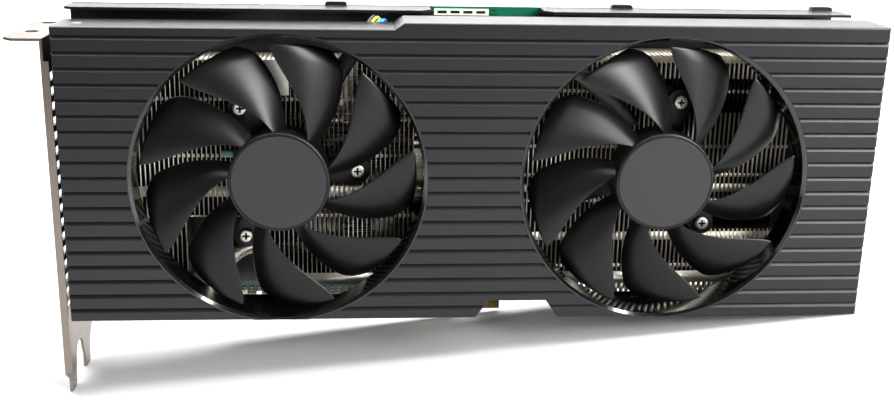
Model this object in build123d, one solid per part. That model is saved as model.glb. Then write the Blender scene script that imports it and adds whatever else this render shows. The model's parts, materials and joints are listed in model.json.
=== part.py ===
"""Two-fan, two-slot graphics card.

Modelled from the bracket's outer face (X), the shroud's front (Y) and the bracket's tongue
tips (Z); the finished pieces are moved together so that the origin is the bottom centre.
The fans face -Y, the bracket is at the -X end and the edge contacts point down.
"""
from build123d import *
import math
import os

# ---- driving dimensions, millimetres and degrees -------------------------------------------
CARD_LENGTH = 267.0
SHROUD_LEFT = 3.4
SHROUD_BOTTOM = 27.7
SHROUD_TOP = 123.8
SHROUD_STEP = 2.1            # the tail end's top stands this much higher
STEP_START = 108.3
SHROUD_DEPTH = 18.6
SHROUD_WALL = 2.0
RIB_PITCH = 4.955
RIB_FIRST = 32.15            # height of the lowest groove's upper edge
RIB_COUNT = 19
GROOVE_DEPTH = 0.9
GROOVE_HEIGHT = 1.5
EDGE_ROUND = 0.6

FAN_X = {"left": 71.6, "right": 196.9}
FAN_Z = 74.8
FAN_PHASE = {"left": 13.2, "right": 11.2}
FAN_SCREW_ANGLE = {"left": 1.0, "right": 74.0}
OPENING_RADIUS = 46.4
OPENING_FLARE = 0.9          # the chamfer round each opening
DUCT_WALL = 1.2
DUCT_END = 11.4
BLADE_COUNT = 9
BLADE_TIP = 44.2
BLADE_THICKNESS = 1.3
HUB_RADIUS = 16.3
HUB_FRONT = -0.6
HUB_END = 11.0
SHAFT_RADIUS = 1.5
BEARING_CLEARANCE = 0.05
FAN_SCREW_CIRCLE = 25.0
FAN_BASE_FRONT = 13.2
FAN_BASE_BACK = 14.8

FIN_FRONT = 16.0
FIN_BACK = 31.6
FIN_BOTTOM = 36.0
FIN_TOP = {"left": 111.5, "right": 113.9}
FIN_PITCH = 1.55
FIN_THICKNESS = 0.3
FIN_SPANS = {"left": (22.0, 118.0), "right": (126.0, 245.0)}
POCKET = (40.0, 62.0, 58.5)  # fins between the first two are cut below the third
PIPE_RADIUS = 3.0
PIPE_HEIGHTS = (44.5, 63.0, 82.0, 89.5)
PIPE_DEPTH = FIN_BACK - PIPE_RADIUS

BOARD_FRONT = 36.2
BOARD_THICKNESS = 1.6
BOARD_BACK = BOARD_FRONT + BOARD_THICKNESS
BOARD_TOP = 126.9
BOARD_HEIGHT = 111.15
BOARD_BOTTOM = BOARD_TOP - BOARD_HEIGHT
CONTACT_HEIGHT = 8.25
BOARD_LEFT = 2.0
BOARD_RIGHT = 262.0
CONTACTS_START = 48.45
KEY_START = 60.1
KEY_WIDTH = 1.9
CONTACTS_END = 133.15
PLATE_FRONT = 32.2
PLATE_BACK = 33.2
PLATE_BOTTOM = 29.6
POST_PLACES = [(x, z) for x in (18.5, 122.0, 250.0) for z in (33.0, 118.5)]

BRACKET_FRONT = 0.8
BRACKET_WIDTH = 38.74
BRACKET_BACK = BRACKET_FRONT + BRACKET_WIDTH
BRACKET_HEIGHT = 120.02
BRACKET_SHEET = 0.86
BRACKET_FLANGE = 11.43
BRACKET_LIP = 2.4
SLOT_PITCH = 20.32
TONGUE_CENTRES = (8.5, 8.5 + SLOT_PITCH)
FLANGE_HOLES = (16.2, 16.2 + SLOT_PITCH)
FLANGE_HOLE_X = -5.9
FLANGE_HOLE_RADIUS = 2.2
PORT_HEIGHTS = (38.5, 60.0, 81.5, 103.0)
PORT_FRONT = 31.0

CHIP_X = 108.0
CHIP_Z = 76.0
COLD_PLATE_HALF = 34.0
COLD_PLATE_BACK = 34.2
SPRING_SCREW_REACH = 31.0
POWER_ROW_Z = [42.0 + 8.6 * k for k in range(8)]
PLUG_X = {"left": 104.5, "right": 140.0}
PLUG_SIZE = (8.8, 4.0, 5.0)
PLUG_TOP = 119.0
PLUG_BACK = 32.0
BRACKET_TABS = (27.5, 115.5)
TAB_HOLE_X = 6.0
NUT_RADIUS = 2.9
NUT_HEIGHT = 1.8
PORT_WALL = 0.35
PORT_END = 15.4
VENT_ROWS = 17
VENT_PITCH = 4.8
VENT_SIZE = (8.8, 2.6)


# ---- helpers ------------------------------------------------------------------------------
def block(x0, x1, y0, y1, z0, z1):
    """A box between two corners."""
    return Pos((x0 + x1) / 2, (y0 + y1) / 2, (z0 + z1) / 2) * Box(x1 - x0, y1 - y0, z1 - z0)


def rod(x, z, radius, y0, y1):
    """A round bar along Y."""
    return Pos(x, (y0 + y1) / 2, z) * Rot(90, 0, 0) * Cylinder(radius, y1 - y0)


def tube(x, z, outer, inner, y0, y1):
    """A round tube along Y."""
    return rod(x, z, outer, y0, y1) - rod(x, z, inner, y0 - 1, y1 + 1)


def panel(points, y0, y1):
    """A flat panel whose outline is given in X and Z."""
    return extrude(Plane.XZ.offset(-y0) * Polygon(*points, align=None), y1 - y0, dir=(0, 1, 0))


def sheet(points, x0, x1):
    """A flat sheet whose outline is given in Y and Z."""
    return extrude(Plane.YZ.offset(x0) * Polygon(*points, align=None), x1 - x0, dir=(1, 0, 0))


def slab(points, z0, z1):
    """A flat slab whose outline is given in X and Y."""
    return extrude(Plane.XY.offset(z0) * Polygon(*points, align=None), z1 - z0, dir=(0, 0, 1))


def pan_screw(x, z, head_radius, head_height, shank_radius, length, y_head):
    """A pan-head screw driven towards +Y, its head's underside at y_head, with a cross recess."""
    head = rod(x, z, head_radius, y_head - head_height, y_head)
    head = fillet(head.edges().sort_by(Axis.Y)[0], head_height * 0.45)
    arm = head_radius * 0.55
    width = head_radius * 0.15
    depth = y_head - head_height * 0.5
    cross = block(x - arm, x + arm, y_head - head_height - 1, depth, z - width, z + width)
    cross += block(x - width, x + width, y_head - head_height - 1, depth, z - arm, z + arm)
    return head - cross + rod(x, z, shank_radius, y_head, y_head + length)


def back_screw(x, z, head_radius, head_height, shank_radius, length, y_head):
    """The same screw, driven from the back towards -Y."""
    screw = pan_screw(x, z, head_radius, head_height, shank_radius, length, y_head)
    return mirror(screw, about=Plane.XZ.offset(-y_head))


def on_circle(x, z, radius, angle):
    """The point at an angle from +X towards +Z on a circle about (x, z)."""
    turn = math.radians(angle)
    return x + radius * math.cos(turn), z + radius * math.sin(turn)


def fan_screw_places(side):
    """The three screw places of one fan."""
    first = FAN_SCREW_ANGLE[side]
    return [on_circle(FAN_X[side], FAN_Z, FAN_SCREW_CIRCLE, first + 120 * k) for k in range(3)]


# ---- shroud ---------------------------------------------------------------------------------
def shroud_outline(inset):
    """The cover's outline in X and Z, drawn in by one wall thickness where inset is that."""
    left = SHROUD_LEFT - inset
    right = CARD_LENGTH - inset
    bottom = SHROUD_BOTTOM + inset
    top = SHROUD_TOP - inset
    high = top + SHROUD_STEP
    step_end = STEP_START + 3.0
    notch_left, notch_right, notch_rise = 135.9, 163.6, 6.0
    notch_taper = 4.2
    return [
        (left, bottom), (notch_left - inset, bottom),
        (notch_left + notch_taper - inset, bottom + notch_rise),
        (notch_right - notch_taper + inset, bottom + notch_rise), (notch_right + inset, bottom),
        (right, bottom), (right, high), (step_end, high), (STEP_START, top), (left, top)]


def groove(height):
    """One groove: a square step under the slat above, then a slope out to the slat below."""
    shoulder = 0.35
    profile = [(-1, height), (GROOVE_DEPTH, height), (GROOVE_DEPTH, height - shoulder),
               (0, height - GROOVE_HEIGHT), (-1, height - GROOVE_HEIGHT)]
    return sheet(profile, SHROUD_LEFT - 1, CARD_LENGTH + 1)


def shroud():
    """The ribbed cover, open at the back and at the bracket end, with two fan ducts."""
    outer = panel(shroud_outline(0), 0, SHROUD_DEPTH)
    front_edges = [e for e in outer.edges() if abs(e.center().Y) < 0.01]
    cover = fillet(front_edges, EDGE_ROUND)
    cover -= panel(shroud_outline(SHROUD_WALL), SHROUD_WALL, SHROUD_DEPTH + 1)
    for k in range(RIB_COUNT):
        cover -= groove(RIB_FIRST + k * RIB_PITCH)
    rim_radius = OPENING_RADIUS + 1.5
    envelope = panel(shroud_outline(0), 0, DUCT_END)
    for x in FAN_X.values():
        rim = rod(x, FAN_Z, rim_radius, 0, SHROUD_WALL)
        rim += rod(x, FAN_Z, OPENING_RADIUS + DUCT_WALL, 0, DUCT_END)
        cover += rim & envelope
    for x in FAN_X.values():
        cover -= rod(x, FAN_Z, OPENING_RADIUS, -1, DUCT_END + 1)
        flare = Pos(x, 0, FAN_Z) * Rot(90, 0, 0)
        cover -= flare * Cone(OPENING_RADIUS, OPENING_RADIUS + 2 * OPENING_FLARE, 2 * OPENING_FLARE)
    for x, z in POST_PLACES:
        cover += tube(x, z, 2.6, 1.25, SHROUD_WALL, PLATE_FRONT)
    return cover


def shroud_screws():
    """Six screws from the back through the board and the mid plate into the cover's posts."""
    return [back_screw(x, z, 2.3, 1.5, 1.25, 11.0, BOARD_BACK) for x, z in POST_PLACES]


# ---- fans -----------------------------------------------------------------------------------
def blade_section(u):
    """One cross-section of a blade, as a closed wire, at share u of the way from hub to tip.

    The leading edge sweeps back by 37 degrees towards the hub and the chord widens outwards.
    """
    root, tip = HUB_RADIUS - 1.0, BLADE_TIP + 2.0
    radius = root + (tip - root) * u
    inward = max(0.0, (BLADE_TIP - radius) / (BLADE_TIP - HUB_RADIUS))
    corner = max(0.0, (radius - 39.5) / (BLADE_TIP - 39.5))
    lead_angle = -37.0 * inward ** 1.6
    trail_angle = -30.0 - 27.0 * inward + 6.0 * inward ** 2 + 5.0 * corner ** 2
    lead_depth, trail_depth = 1.6 + 0.4 * u, 6.8 + 3.4 * u
    middle = math.radians((lead_angle + trail_angle) / 2)
    half = math.radians((lead_angle - trail_angle) / 2)
    reach = radius * math.cos(half)
    across = radius * math.sin(half)
    out = Vector(math.cos(middle), 0, math.sin(middle))
    along = Vector(-math.sin(middle), 0, math.cos(middle))
    thickness = BLADE_THICKNESS * (1 - 0.3 * u)
    camber = 0.17 * across
    front, back = [], []
    for step in range(7):
        share = step / 6
        bulge = 4 * share * (1 - share)
        depth = lead_depth + (trail_depth - lead_depth) * share - camber * bulge
        place = out * reach + along * (across * (1 - 2 * share))
        skin = thickness * (0.25 + 0.25 * bulge)
        front.append(place + Vector(0, depth - skin, 0))
        back.append(place + Vector(0, depth + skin, 0))
    return Wire([Spline(*front), Line(front[-1], back[-1]), Spline(*back[::-1]),
                 Line(back[0], front[0])])


def blade():
    """One blade, trimmed to the tip circle."""
    body = Solid.make_loft([blade_section(u) for u in (0, 0.2, 0.4, 0.6, 0.8, 0.92, 1.0)])
    return body & rod(0, 0, BLADE_TIP, -2, 14) - rod(0, 0, HUB_RADIUS - 0.6, -3, 15)


def rotor(side):
    """A hub cup with its nine swept blades."""
    hub = rod(0, 0, HUB_RADIUS, HUB_FRONT, HUB_END)
    hub = fillet(hub.edges().sort_by(Axis.Y)[0], 0.7)
    hub -= rod(0, 0, HUB_RADIUS - 1.2, 1.1, HUB_END + 1)
    hub -= rod(0, 0, HUB_RADIUS - 1.1, HUB_FRONT - 1, HUB_FRONT + 0.3)
    hub += rod(0, 0, 3.2, 1.1, 3.6)
    hub -= rod(0, 0, SHAFT_RADIUS, 0.6, 5)
    one = blade()
    for k in range(BLADE_COUNT):
        hub += Rot(0, -(FAN_PHASE[side] + 360 / BLADE_COUNT * k), 0) * one
    return Pos(FAN_X[side], 0, FAN_Z) * hub


def hub_disc(side):
    """The thin matt disc stuck into the hub's front."""
    return rod(FAN_X[side], FAN_Z, HUB_RADIUS - 1.15, HUB_FRONT + 0.05, HUB_FRONT + 0.3)


def magnet(side):
    """The rubber-bonded magnet ring inside the hub cup."""
    return tube(FAN_X[side], FAN_Z, HUB_RADIUS - 1.2, 13.6, 3.0, 10.4)


def shaft(side):
    """The steel shaft pressed into the hub."""
    return rod(FAN_X[side], FAN_Z, SHAFT_RADIUS, 0.6, FAN_BASE_FRONT - 0.1)


def bearing(side):
    """The sleeve bearing."""
    bore = SHAFT_RADIUS + BEARING_CLEARANCE
    return tube(FAN_X[side], FAN_Z, 3.4, bore, 4.4, FAN_BASE_FRONT - 0.2)


def fan_base(side):
    """The fixed fan base: a disc, the bearing tube and three legs with screw bosses."""
    x = FAN_X[side]
    base = rod(x, FAN_Z, 15.6, FAN_BASE_FRONT, FAN_BASE_BACK)
    base += tube(x, FAN_Z, 5.0, 3.4, 4.4, FAN_BASE_FRONT)
    middle = (FAN_BASE_FRONT + FAN_BASE_BACK) / 2
    thick = FAN_BASE_BACK - FAN_BASE_FRONT
    for k, (px, pz) in enumerate(fan_screw_places(side)):
        angle = FAN_SCREW_ANGLE[side] + 120 * k
        cx, cz = on_circle(x, FAN_Z, FAN_SCREW_CIRCLE / 2, angle)
        base += Pos(cx, middle, cz) * Rot(0, -angle, 0) * Box(FAN_SCREW_CIRCLE, thick, 8.0)
        base += rod(px, pz, 4.2, FAN_BASE_FRONT, FAN_BASE_BACK)
    for px, pz in fan_screw_places(side):
        base -= rod(px, pz, 1.3, FAN_BASE_FRONT - 1, FAN_BASE_BACK + 1)
    return base


def stator_core(side):
    """The laminated iron core with four poles."""
    x, front, back = FAN_X[side], 5.6, 10.0
    shoes = tube(x, FAN_Z, 12.9, 11.3, front, back)
    middle = (front + back) / 2
    for k in range(4):
        gap = Pos(x, middle, FAN_Z) * Rot(0, 45 + 90 * k, 0) * Pos(12, 0, 0)
        shoes -= gap * Box(6, 6, 3)
    core = shoes + tube(x, FAN_Z, 7.2, 5.0, front, back)
    for k in range(4):
        neck = Pos(x, middle, FAN_Z) * Rot(0, 90 * k, 0) * Pos(9.2, 0, 0)
        core += neck * Box(5.0, back - front, 3.2)
    return core


def stator_coils(side):
    """Four copper windings round the poles."""
    coils = []
    for k in range(4):
        place = Pos(FAN_X[side], 7.8, FAN_Z) * Rot(0, 90 * k, 0) * Pos(9.3, 0, 0)
        winding = place * Box(3.0, 5.6, 5.6)
        winding -= place * Box(4.0, 4.4, 3.2)
        coils.append(winding)
    return coils


def fan_board(side):
    """The ring-shaped driver board under the coils."""
    return tube(FAN_X[side], FAN_Z, 14.0, 5.0, 11.4, 12.4)


def fan_lead(side):
    """Four wires from the fan's base over the fins to its plug on the board."""
    if side == "left":
        route = [(80.5, 12.5, 91.0), (92.5, 12.6, 111.0), (102.2, 15.5, 117.6),
                 (104.6, 22.5, 118.0), (104.5, 27.7, 115.7)]
    else:
        route = [(188.0, 12.5, 91.0), (170.0, 12.6, 110.0), (150.0, 14.5, 116.8),
                 (141.0, 21.5, 118.2), (140.0, 27.7, 115.7)]
    lean = -0.35 if side == "left" else 0.35
    wires = []
    for k in range(4):
        shift = 1.15 * (k - 1.5)
        points = [(x + shift, y, z + lean * shift) for x, y, z in route]
        path = FilletPolyline(*points, radius=3.2)
        section = Plane(origin=path @ 0, z_dir=path % 0) * Circle(0.45)
        wires.append(sweep(section, path=path))
    return wires


def fan_plug(side):
    """The four-way plug at the end of a fan's lead."""
    x = PLUG_X[side]
    wide, deep, tall = PLUG_SIZE
    plug = block(x - wide / 2, x + wide / 2, PLUG_BACK - deep, PLUG_BACK, PLUG_TOP - tall, PLUG_TOP)
    return plug + block(x - 1.6, x + 1.6, PLUG_BACK - 3.0, PLUG_BACK, PLUG_TOP, PLUG_TOP + 0.7)


def fan_header(side):
    """The socket on the board that takes the plug."""
    x, half = PLUG_X[side], PLUG_SIZE[0] / 2 + 0.4
    return block(x - half, x + half, PLUG_BACK, BOARD_FRONT, PLUG_TOP - PLUG_SIZE[2] - 0.4,
                 PLUG_TOP + 0.4)


def fan_screws():
    """Six pan-head screws that hold the two fan bases."""
    places = fan_screw_places("left") + fan_screw_places("right")
    return [pan_screw(x, z, 2.3, 1.5, 1.3, 6.0, FAN_BASE_FRONT) for x, z in places]


def fan_posts():
    """Six threaded steel posts between the mid plate and the fan bases."""
    places = fan_screw_places("left") + fan_screw_places("right")
    posts = []
    for x, z in places:
        on_block = max(abs(x - CHIP_X), abs(z - CHIP_Z)) < COLD_PLATE_HALF + 3
        post = rod(x, z, 2.5, FAN_BASE_BACK, FIN_BACK if on_block else PLATE_FRONT)
        posts.append(post - rod(x, z, 1.3, FAN_BASE_BACK - 1, FAN_BASE_FRONT + 6.5))
    return posts


# ---- heat sink --------------------------------------------------------------------------------
def fin_outline(bottom, top):
    """A fin's outline in Y and Z, with a slot for each heat pipe cut in from the back."""
    fin = block(0, FIN_THICKNESS, FIN_FRONT, FIN_BACK, bottom, top)
    for z in PIPE_HEIGHTS:
        if z > bottom:
            bore = Pos(0, PIPE_DEPTH, z) * Rot(0, 90, 0) * Cylinder(PIPE_RADIUS, 4)
            slot = block(-1, 1, PIPE_DEPTH, FIN_BACK + 1, z - PIPE_RADIUS, z + PIPE_RADIUS)
            fin -= bore + slot
    fold = FIN_PITCH - 0.12
    fin += block(0, fold, FIN_FRONT, FIN_BACK, top - FIN_THICKNESS, top)
    return fin + block(0, fold, FIN_FRONT, FIN_BACK, bottom, bottom + FIN_THICKNESS)


def fin_stack(side):
    """Thin folded fins, side by side, with room for the fan posts."""
    start, end = FIN_SPANS[side]
    tall, short = (fin_outline(bottom, FIN_TOP[side]) for bottom in (FIN_BOTTOM, POCKET[2]))
    posts = fan_screw_places("left") + fan_screw_places("right")
    reach = 3.2
    fins = []
    for k in range(int((end - start) / FIN_PITCH)):
        x = start + k * FIN_PITCH
        fin = Pos(x, 0, 0) * (short if POCKET[0] < x < POCKET[1] else tall)
        for px, pz in posts:
            if abs(x + FIN_PITCH / 2 - px) < reach + FIN_PITCH:
                fin -= rod(px, pz, reach, FIN_FRONT - 1, FIN_BACK + 1)
        fins += fin.solids()
    return fins


def heat_pipes():
    """Four copper pipes along the card; the lowest turns down into the pocket at its end."""
    pipes = []
    for z in PIPE_HEIGHTS[1:]:
        pipes.append(Pos(138, PIPE_DEPTH, z) * Rot(0, 90, 0) * Cylinder(PIPE_RADIUS, 216))
    path = FilletPolyline((240, PIPE_DEPTH, PIPE_HEIGHTS[0]), (57, PIPE_DEPTH, PIPE_HEIGHTS[0]),
                          (48, 24.5, 36.5), radius=12)
    section = Plane(origin=path @ 0, z_dir=path % 0) * Circle(PIPE_RADIUS)
    pipes.append(sweep(section, path=path))
    return pipes


def cold_plate():
    """The nickel-plated block that presses on the chip, with four threaded corner posts."""
    half = COLD_PLATE_HALF
    plate = block(CHIP_X - half, CHIP_X + half, FIN_BACK, COLD_PLATE_BACK,
                  CHIP_Z - half, CHIP_Z + half)
    for x, z in spring_screw_places():
        plate += rod(x, z, 3.0, FIN_BACK, BOARD_FRONT)
        plate -= rod(x, z, 1.5, FIN_BACK + 0.5, BOARD_FRONT + 1)
    return plate


def fin_bridge():
    """The flat bridge sheet soldered across the fins above the left fan's hub."""
    return block(50.0, 74.3, FIN_FRONT - 0.6, FIN_FRONT, 100.0, FIN_TOP["left"])


def mid_plate():
    """The pressed frame between the fins and the board, with its folded top ledge."""
    plate = block(16.0, 254.0, PLATE_FRONT, PLATE_BACK, PLATE_BOTTOM, BOARD_TOP - 1.0)
    window = COLD_PLATE_HALF + 2.0
    plate -= block(CHIP_X - window, CHIP_X + window, PLATE_FRONT - 1, PLATE_BACK + 1,
                   CHIP_Z - window, CHIP_Z + window)
    for x in PLUG_X.values():
        plate -= block(x - 6, x + 6, PLATE_FRONT - 1, PLATE_BACK + 1, 111.9, 120.0)
    plate -= block(246.0, 255.0, PLATE_FRONT - 1, PLATE_BACK + 1, 94.5, 115.6)
    ledge_top, ledge_bottom = BOARD_TOP - 0.1, BOARD_TOP - 1.0
    ledges = [[(2.0, 26.0), (5.0, 24.6), (118.0, 24.6), (121.0, 27.6), (121.0, BOARD_FRONT),
               (2.0, BOARD_FRONT)],
              [(159.0, BOARD_FRONT), (159.0, 27.6), (162.0, 24.6), (264.0, 24.6),
               (264.0, BOARD_FRONT)]]
    plate -= block(122.0, 158.0, PLATE_FRONT - 1, PLATE_BACK + 1, 119.0, BOARD_TOP)
    for outline in ledges:
        plate += slab(outline, ledge_bottom, ledge_top)
    for x, z in POST_PLACES:
        plate += rod(x, z, 3.0, PLATE_BACK, BOARD_FRONT)
    for x, z in POST_PLACES:
        plate -= rod(x, z, 1.5, PLATE_FRONT - 1, BOARD_FRONT + 1)
    return plate


# ---- board and what is on it --------------------------------------------------------------------
def circuit_board():
    """The board, with its keyed contact edge and the retention hook behind it."""
    shoulder = BOARD_BOTTOM + CONTACT_HEIGHT
    key_end = KEY_START + KEY_WIDTH
    hook_end, hook_foot = 148.4, 16.7
    outline = [
        (BOARD_LEFT, shoulder), (CONTACTS_START, shoulder), (CONTACTS_START, BOARD_BOTTOM),
        (KEY_START, BOARD_BOTTOM), (KEY_START, shoulder), (key_end, shoulder),
        (key_end, BOARD_BOTTOM), (CONTACTS_END, BOARD_BOTTOM), (CONTACTS_END, shoulder + 1.5),
        (141.0, shoulder + 1.5), (141.0, hook_foot + 3.0), (138.5, hook_foot + 3.0),
        (138.5, hook_foot), (hook_end, hook_foot), (hook_end, shoulder),
        (BOARD_RIGHT, shoulder), (BOARD_RIGHT, BOARD_TOP), (BOARD_LEFT, BOARD_TOP)]
    board = panel(outline, BOARD_FRONT, BOARD_BACK)
    for x, z in POST_PLACES:
        board -= rod(x, z, 1.5, BOARD_FRONT - 1, BOARD_BACK + 1)
    for x, z in spring_screw_places():
        board -= rod(x, z, 1.9, BOARD_FRONT - 1, BOARD_BACK + 1)
    for z in BRACKET_TABS:
        board -= rod(TAB_HOLE_X, z, 1.6, BOARD_FRONT - 1, BOARD_BACK + 1)
    return board


def edge_contacts():
    """Gold contacts on both faces, one a millimetre, and the hook's plated foot."""
    pads = []
    skin = 0.08
    low, high = BOARD_BOTTOM + 0.6, BOARD_BOTTOM + 7.4
    first_row = [CONTACTS_START + 0.8 + k for k in range(11)]
    second_row = [KEY_START + KEY_WIDTH + 0.6 + k for k in range(71)]
    for x in first_row + second_row:
        pads.append(block(x - 0.35, x + 0.35, BOARD_FRONT - skin, BOARD_FRONT, low, high))
        pads.append(block(x - 0.35, x + 0.35, BOARD_BACK, BOARD_BACK + skin, low, high))
    pads.append(block(141.6, 148.0, BOARD_FRONT - skin, BOARD_FRONT, 17.0, 20.4))
    return pads


def gpu_substrate():
    """The chip's carrier."""
    return block(CHIP_X - 18.7, CHIP_X + 18.7, 35.0, BOARD_FRONT, CHIP_Z - 18.7, CHIP_Z + 18.7)


def gpu_die():
    """The bare chip."""
    return block(CHIP_X - 10, CHIP_X + 10, COLD_PLATE_BACK, 35.0, CHIP_Z - 10, CHIP_Z + 10)


def memory_places():
    """Three chips each side of the carrier and two above it."""
    places = [(CHIP_X + dx, CHIP_Z + dz) for dx in (-27.0, 27.0) for dz in (-16.0, 0.0, 16.0)]
    return places + [(CHIP_X + dx, CHIP_Z + 27.0) for dx in (-9.0, 9.0)]


def chips(places, size, height, y_back):
    """Flat boxes of one size and height on one face."""
    half_x, half_z = size[0] / 2, size[1] / 2
    return [block(x - half_x, x + half_x, y_back - height, y_back, z - half_z, z + half_z)
            for x, z in places]


def memory_chips():
    """Eight memory chips."""
    return chips(memory_places(), (12, 14), 1.1, BOARD_FRONT)


def memory_pads():
    """Soft thermal pads between the memory chips and the cold plate."""
    return chips(memory_places(), (11, 13), 0.9, BOARD_FRONT - 1.1)


def inductors():
    """Eight shielded power inductors."""
    return chips([(166.0, z) for z in POWER_ROW_Z], (7.0, 7.0), 2.8, BOARD_FRONT)


def power_stages():
    """Eight switching chips beside the inductors."""
    return chips([(174.5, z) for z in POWER_ROW_Z], (6.0, 5.0), 1.0, BOARD_FRONT)


def capacitors():
    """Polymer capacitors on the far side of the power stages and along the input."""
    places = [(183.0, z) for z in POWER_ROW_Z] + [(236.0, z) for z in POWER_ROW_Z[2:]]
    return chips(places, (7.3, 4.3), 2.0, BOARD_FRONT)


def controller_chips():
    """The power controller, the firmware memory and the crystal."""
    return (chips([(200.0, 60.0)], (6, 6), 0.9, BOARD_FRONT)
            + chips([(50.0, 60.0)], (6, 5), 1.4, BOARD_FRONT)
            + chips([(60.0, 80.0)], (3.2, 2.5), 0.8, BOARD_FRONT))


def board_header():
    """The small four-slot header in the gap of the top ledge."""
    header = block(122.6, 141.2, BOARD_FRONT - 1.2, BOARD_FRONT, 124.1, 126.1)
    for k in range(4):
        x = 125.3 + 4.4 * k
        header -= block(x - 1.6, x + 1.6, BOARD_FRONT - 2, BOARD_FRONT - 0.4, 124.6, 125.6)
    return header


def port_hollow(z, x0):
    """The room inside an upper display socket's shell, from x0 to its back wall."""
    return block(x0, PORT_END - 0.4, PORT_FRONT + PORT_WALL, BOARD_FRONT - PORT_WALL,
                 z - 8.2 + PORT_WALL, z + 8.2 - PORT_WALL)


def display_shells():
    """Three folded steel shells of the upper display sockets."""
    shells = []
    for z in PORT_HEIGHTS[1:]:
        shell = block(-0.6, PORT_END, PORT_FRONT, BOARD_FRONT, z - 8.2, z + 8.2)
        shells.append(shell - port_hollow(z, -1.0))
    return shells


def display_cores():
    """The moulded tongue blocks inside them."""
    cores = []
    for z in PORT_HEIGHTS[1:]:
        cores.append(port_hollow(z, 8.0) + block(0.6, 8.0, 33.2, 34.4, z - 6.5, z + 6.5))
    return cores


def video_profile(inset):
    """The lowest socket's outline in Y and Z, with two cut corners."""
    z = PORT_HEIGHTS[0]
    front, back, half = PORT_FRONT + 0.4 + inset, BOARD_FRONT - inset, 7.5 - inset
    cut = 1.6
    return [(front, z - half), (back - cut, z - half), (back, z - half + cut),
            (back, z + half - cut), (back - cut, z + half), (front, z + half)]


def video_shell():
    """The folded shell of the lowest socket."""
    hollow = sheet(video_profile(PORT_WALL), -1, PORT_END - 0.4)
    return sheet(video_profile(0), -0.6, PORT_END) - hollow


def video_core():
    """Its moulded block and tongue."""
    z = PORT_HEIGHTS[0]
    body = sheet(video_profile(PORT_WALL), 8.0, PORT_END - 0.4)
    return body + block(0.8, 8.0, 33.4, 34.3, z - 5.6, z + 5.6)


def power_socket():
    """The eight-way power socket at the tail, facing out of the end."""
    x0, x1, z0 = 247.0, 264.6, 95.6
    y0 = BOARD_FRONT - 10.0
    body = block(x0, x1, y0, BOARD_FRONT, z0, z0 + 18.4)
    for z, y in power_pin_places():
        body -= block(x1 - 12.5, x1 + 1, y - 1.7, y + 1.7, z - 1.7, z + 1.7)
    return body + block(x1 - 7.0, x1 - 1.5, y0 - 1.2, y0, z0 + 6.6, z0 + 11.8)


def power_pin_places():
    """Heights and depths of the eight pins."""
    return [(98.5 + 4.2 * k, y) for k in range(4) for y in (BOARD_FRONT - 7.2, BOARD_FRONT - 2.9)]


def power_pins():
    """Eight round pins."""
    return [Pos(258.0, y, z) * Rot(0, 90, 0) * Cylinder(0.6, 11.8) for z, y in power_pin_places()]


# ---- bracket ------------------------------------------------------------------------------------
def bracket_outline():
    """The bracket's outline in Y and Z: a tall sheet ending in two tongues."""
    shoulder = 8.5
    points = [(BRACKET_FRONT, BRACKET_HEIGHT)]
    for centre in TONGUE_CENTRES:
        outer = centre - 5.1 if centre > TONGUE_CENTRES[0] else BRACKET_FRONT
        points += [(outer, shoulder), (centre - 3.4, 5.2), (centre - 3.3, 0.8),
                   (centre - 2.5, 0.0), (centre + 2.5, 0.0), (centre + 3.3, 0.8),
                   (centre + 3.6, 4.4), (centre + 5.1, shoulder)]
    return points + [(BRACKET_BACK, 14.0), (BRACKET_BACK, BRACKET_HEIGHT)]


def bracket():
    """The dual-slot end bracket: sheet, folded lip, screw flange and two board tabs."""
    plate = sheet(bracket_outline(), 0, BRACKET_SHEET)
    arch = (TONGUE_CENTRES[0] + TONGUE_CENTRES[1]) / 2
    plate -= Pos(0, arch, 8.5) * Rot(0, 90, 0) * Cylinder(5.06, 4)
    for z in PORT_HEIGHTS[1:]:
        plate -= block(-1, 2, PORT_FRONT - 0.1, BOARD_FRONT + 0.1, z - 8.3, z + 8.3)
    plate -= sheet(video_profile(-0.1), -1, 2)
    wide, tall = VENT_SIZE
    for k in range(VENT_ROWS):
        z = 29.0 + VENT_PITCH * k
        for y in (9.0, 20.5):
            plate -= block(-1, 2, y - wide / 2, y + wide / 2, z, z + tall)
    lip = block(0, BRACKET_LIP, BRACKET_FRONT, BRACKET_FRONT + BRACKET_SHEET, 9.0, 113.0)
    flange = slab([(BRACKET_SHEET, BRACKET_FRONT), (-8.4, BRACKET_FRONT),
                   (-BRACKET_FLANGE, BRACKET_FRONT + 3.0), (-BRACKET_FLANGE, BRACKET_BACK),
                   (BRACKET_SHEET, BRACKET_BACK)],
                  BRACKET_HEIGHT - BRACKET_SHEET, BRACKET_HEIGHT)
    for y in FLANGE_HOLES:
        flange -= Pos(FLANGE_HOLE_X, y, BRACKET_HEIGHT) * Cylinder(FLANGE_HOLE_RADIUS, 4)
    tabs = [block(0, 10.0, BOARD_BACK, BOARD_BACK + BRACKET_SHEET, z - 3.6, z + 3.6)
            - rod(TAB_HOLE_X, z, 1.6, BOARD_BACK - 1, BOARD_BACK + 2) for z in BRACKET_TABS]
    return plate + lip + flange + tabs[0] + tabs[1]


def bracket_screws():
    """Two screws that hold the bracket's tabs to the board, with their nuts."""
    seat = BOARD_BACK + BRACKET_SHEET
    length = seat - BOARD_FRONT + 2.0
    return [back_screw(TAB_HOLE_X, z, 2.6, 1.5, 1.5, length, seat) for z in BRACKET_TABS]


def bracket_nuts():
    """The two nuts on the board's front."""
    board = Plane.XZ.offset(-BOARD_FRONT)
    return [extrude(board * Pos(TAB_HOLE_X, z) * RegularPolygon(NUT_RADIUS, 6), NUT_HEIGHT)
            - rod(TAB_HOLE_X, z, 1.5, BOARD_FRONT - 3, BOARD_FRONT + 1) for z in BRACKET_TABS]


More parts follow.
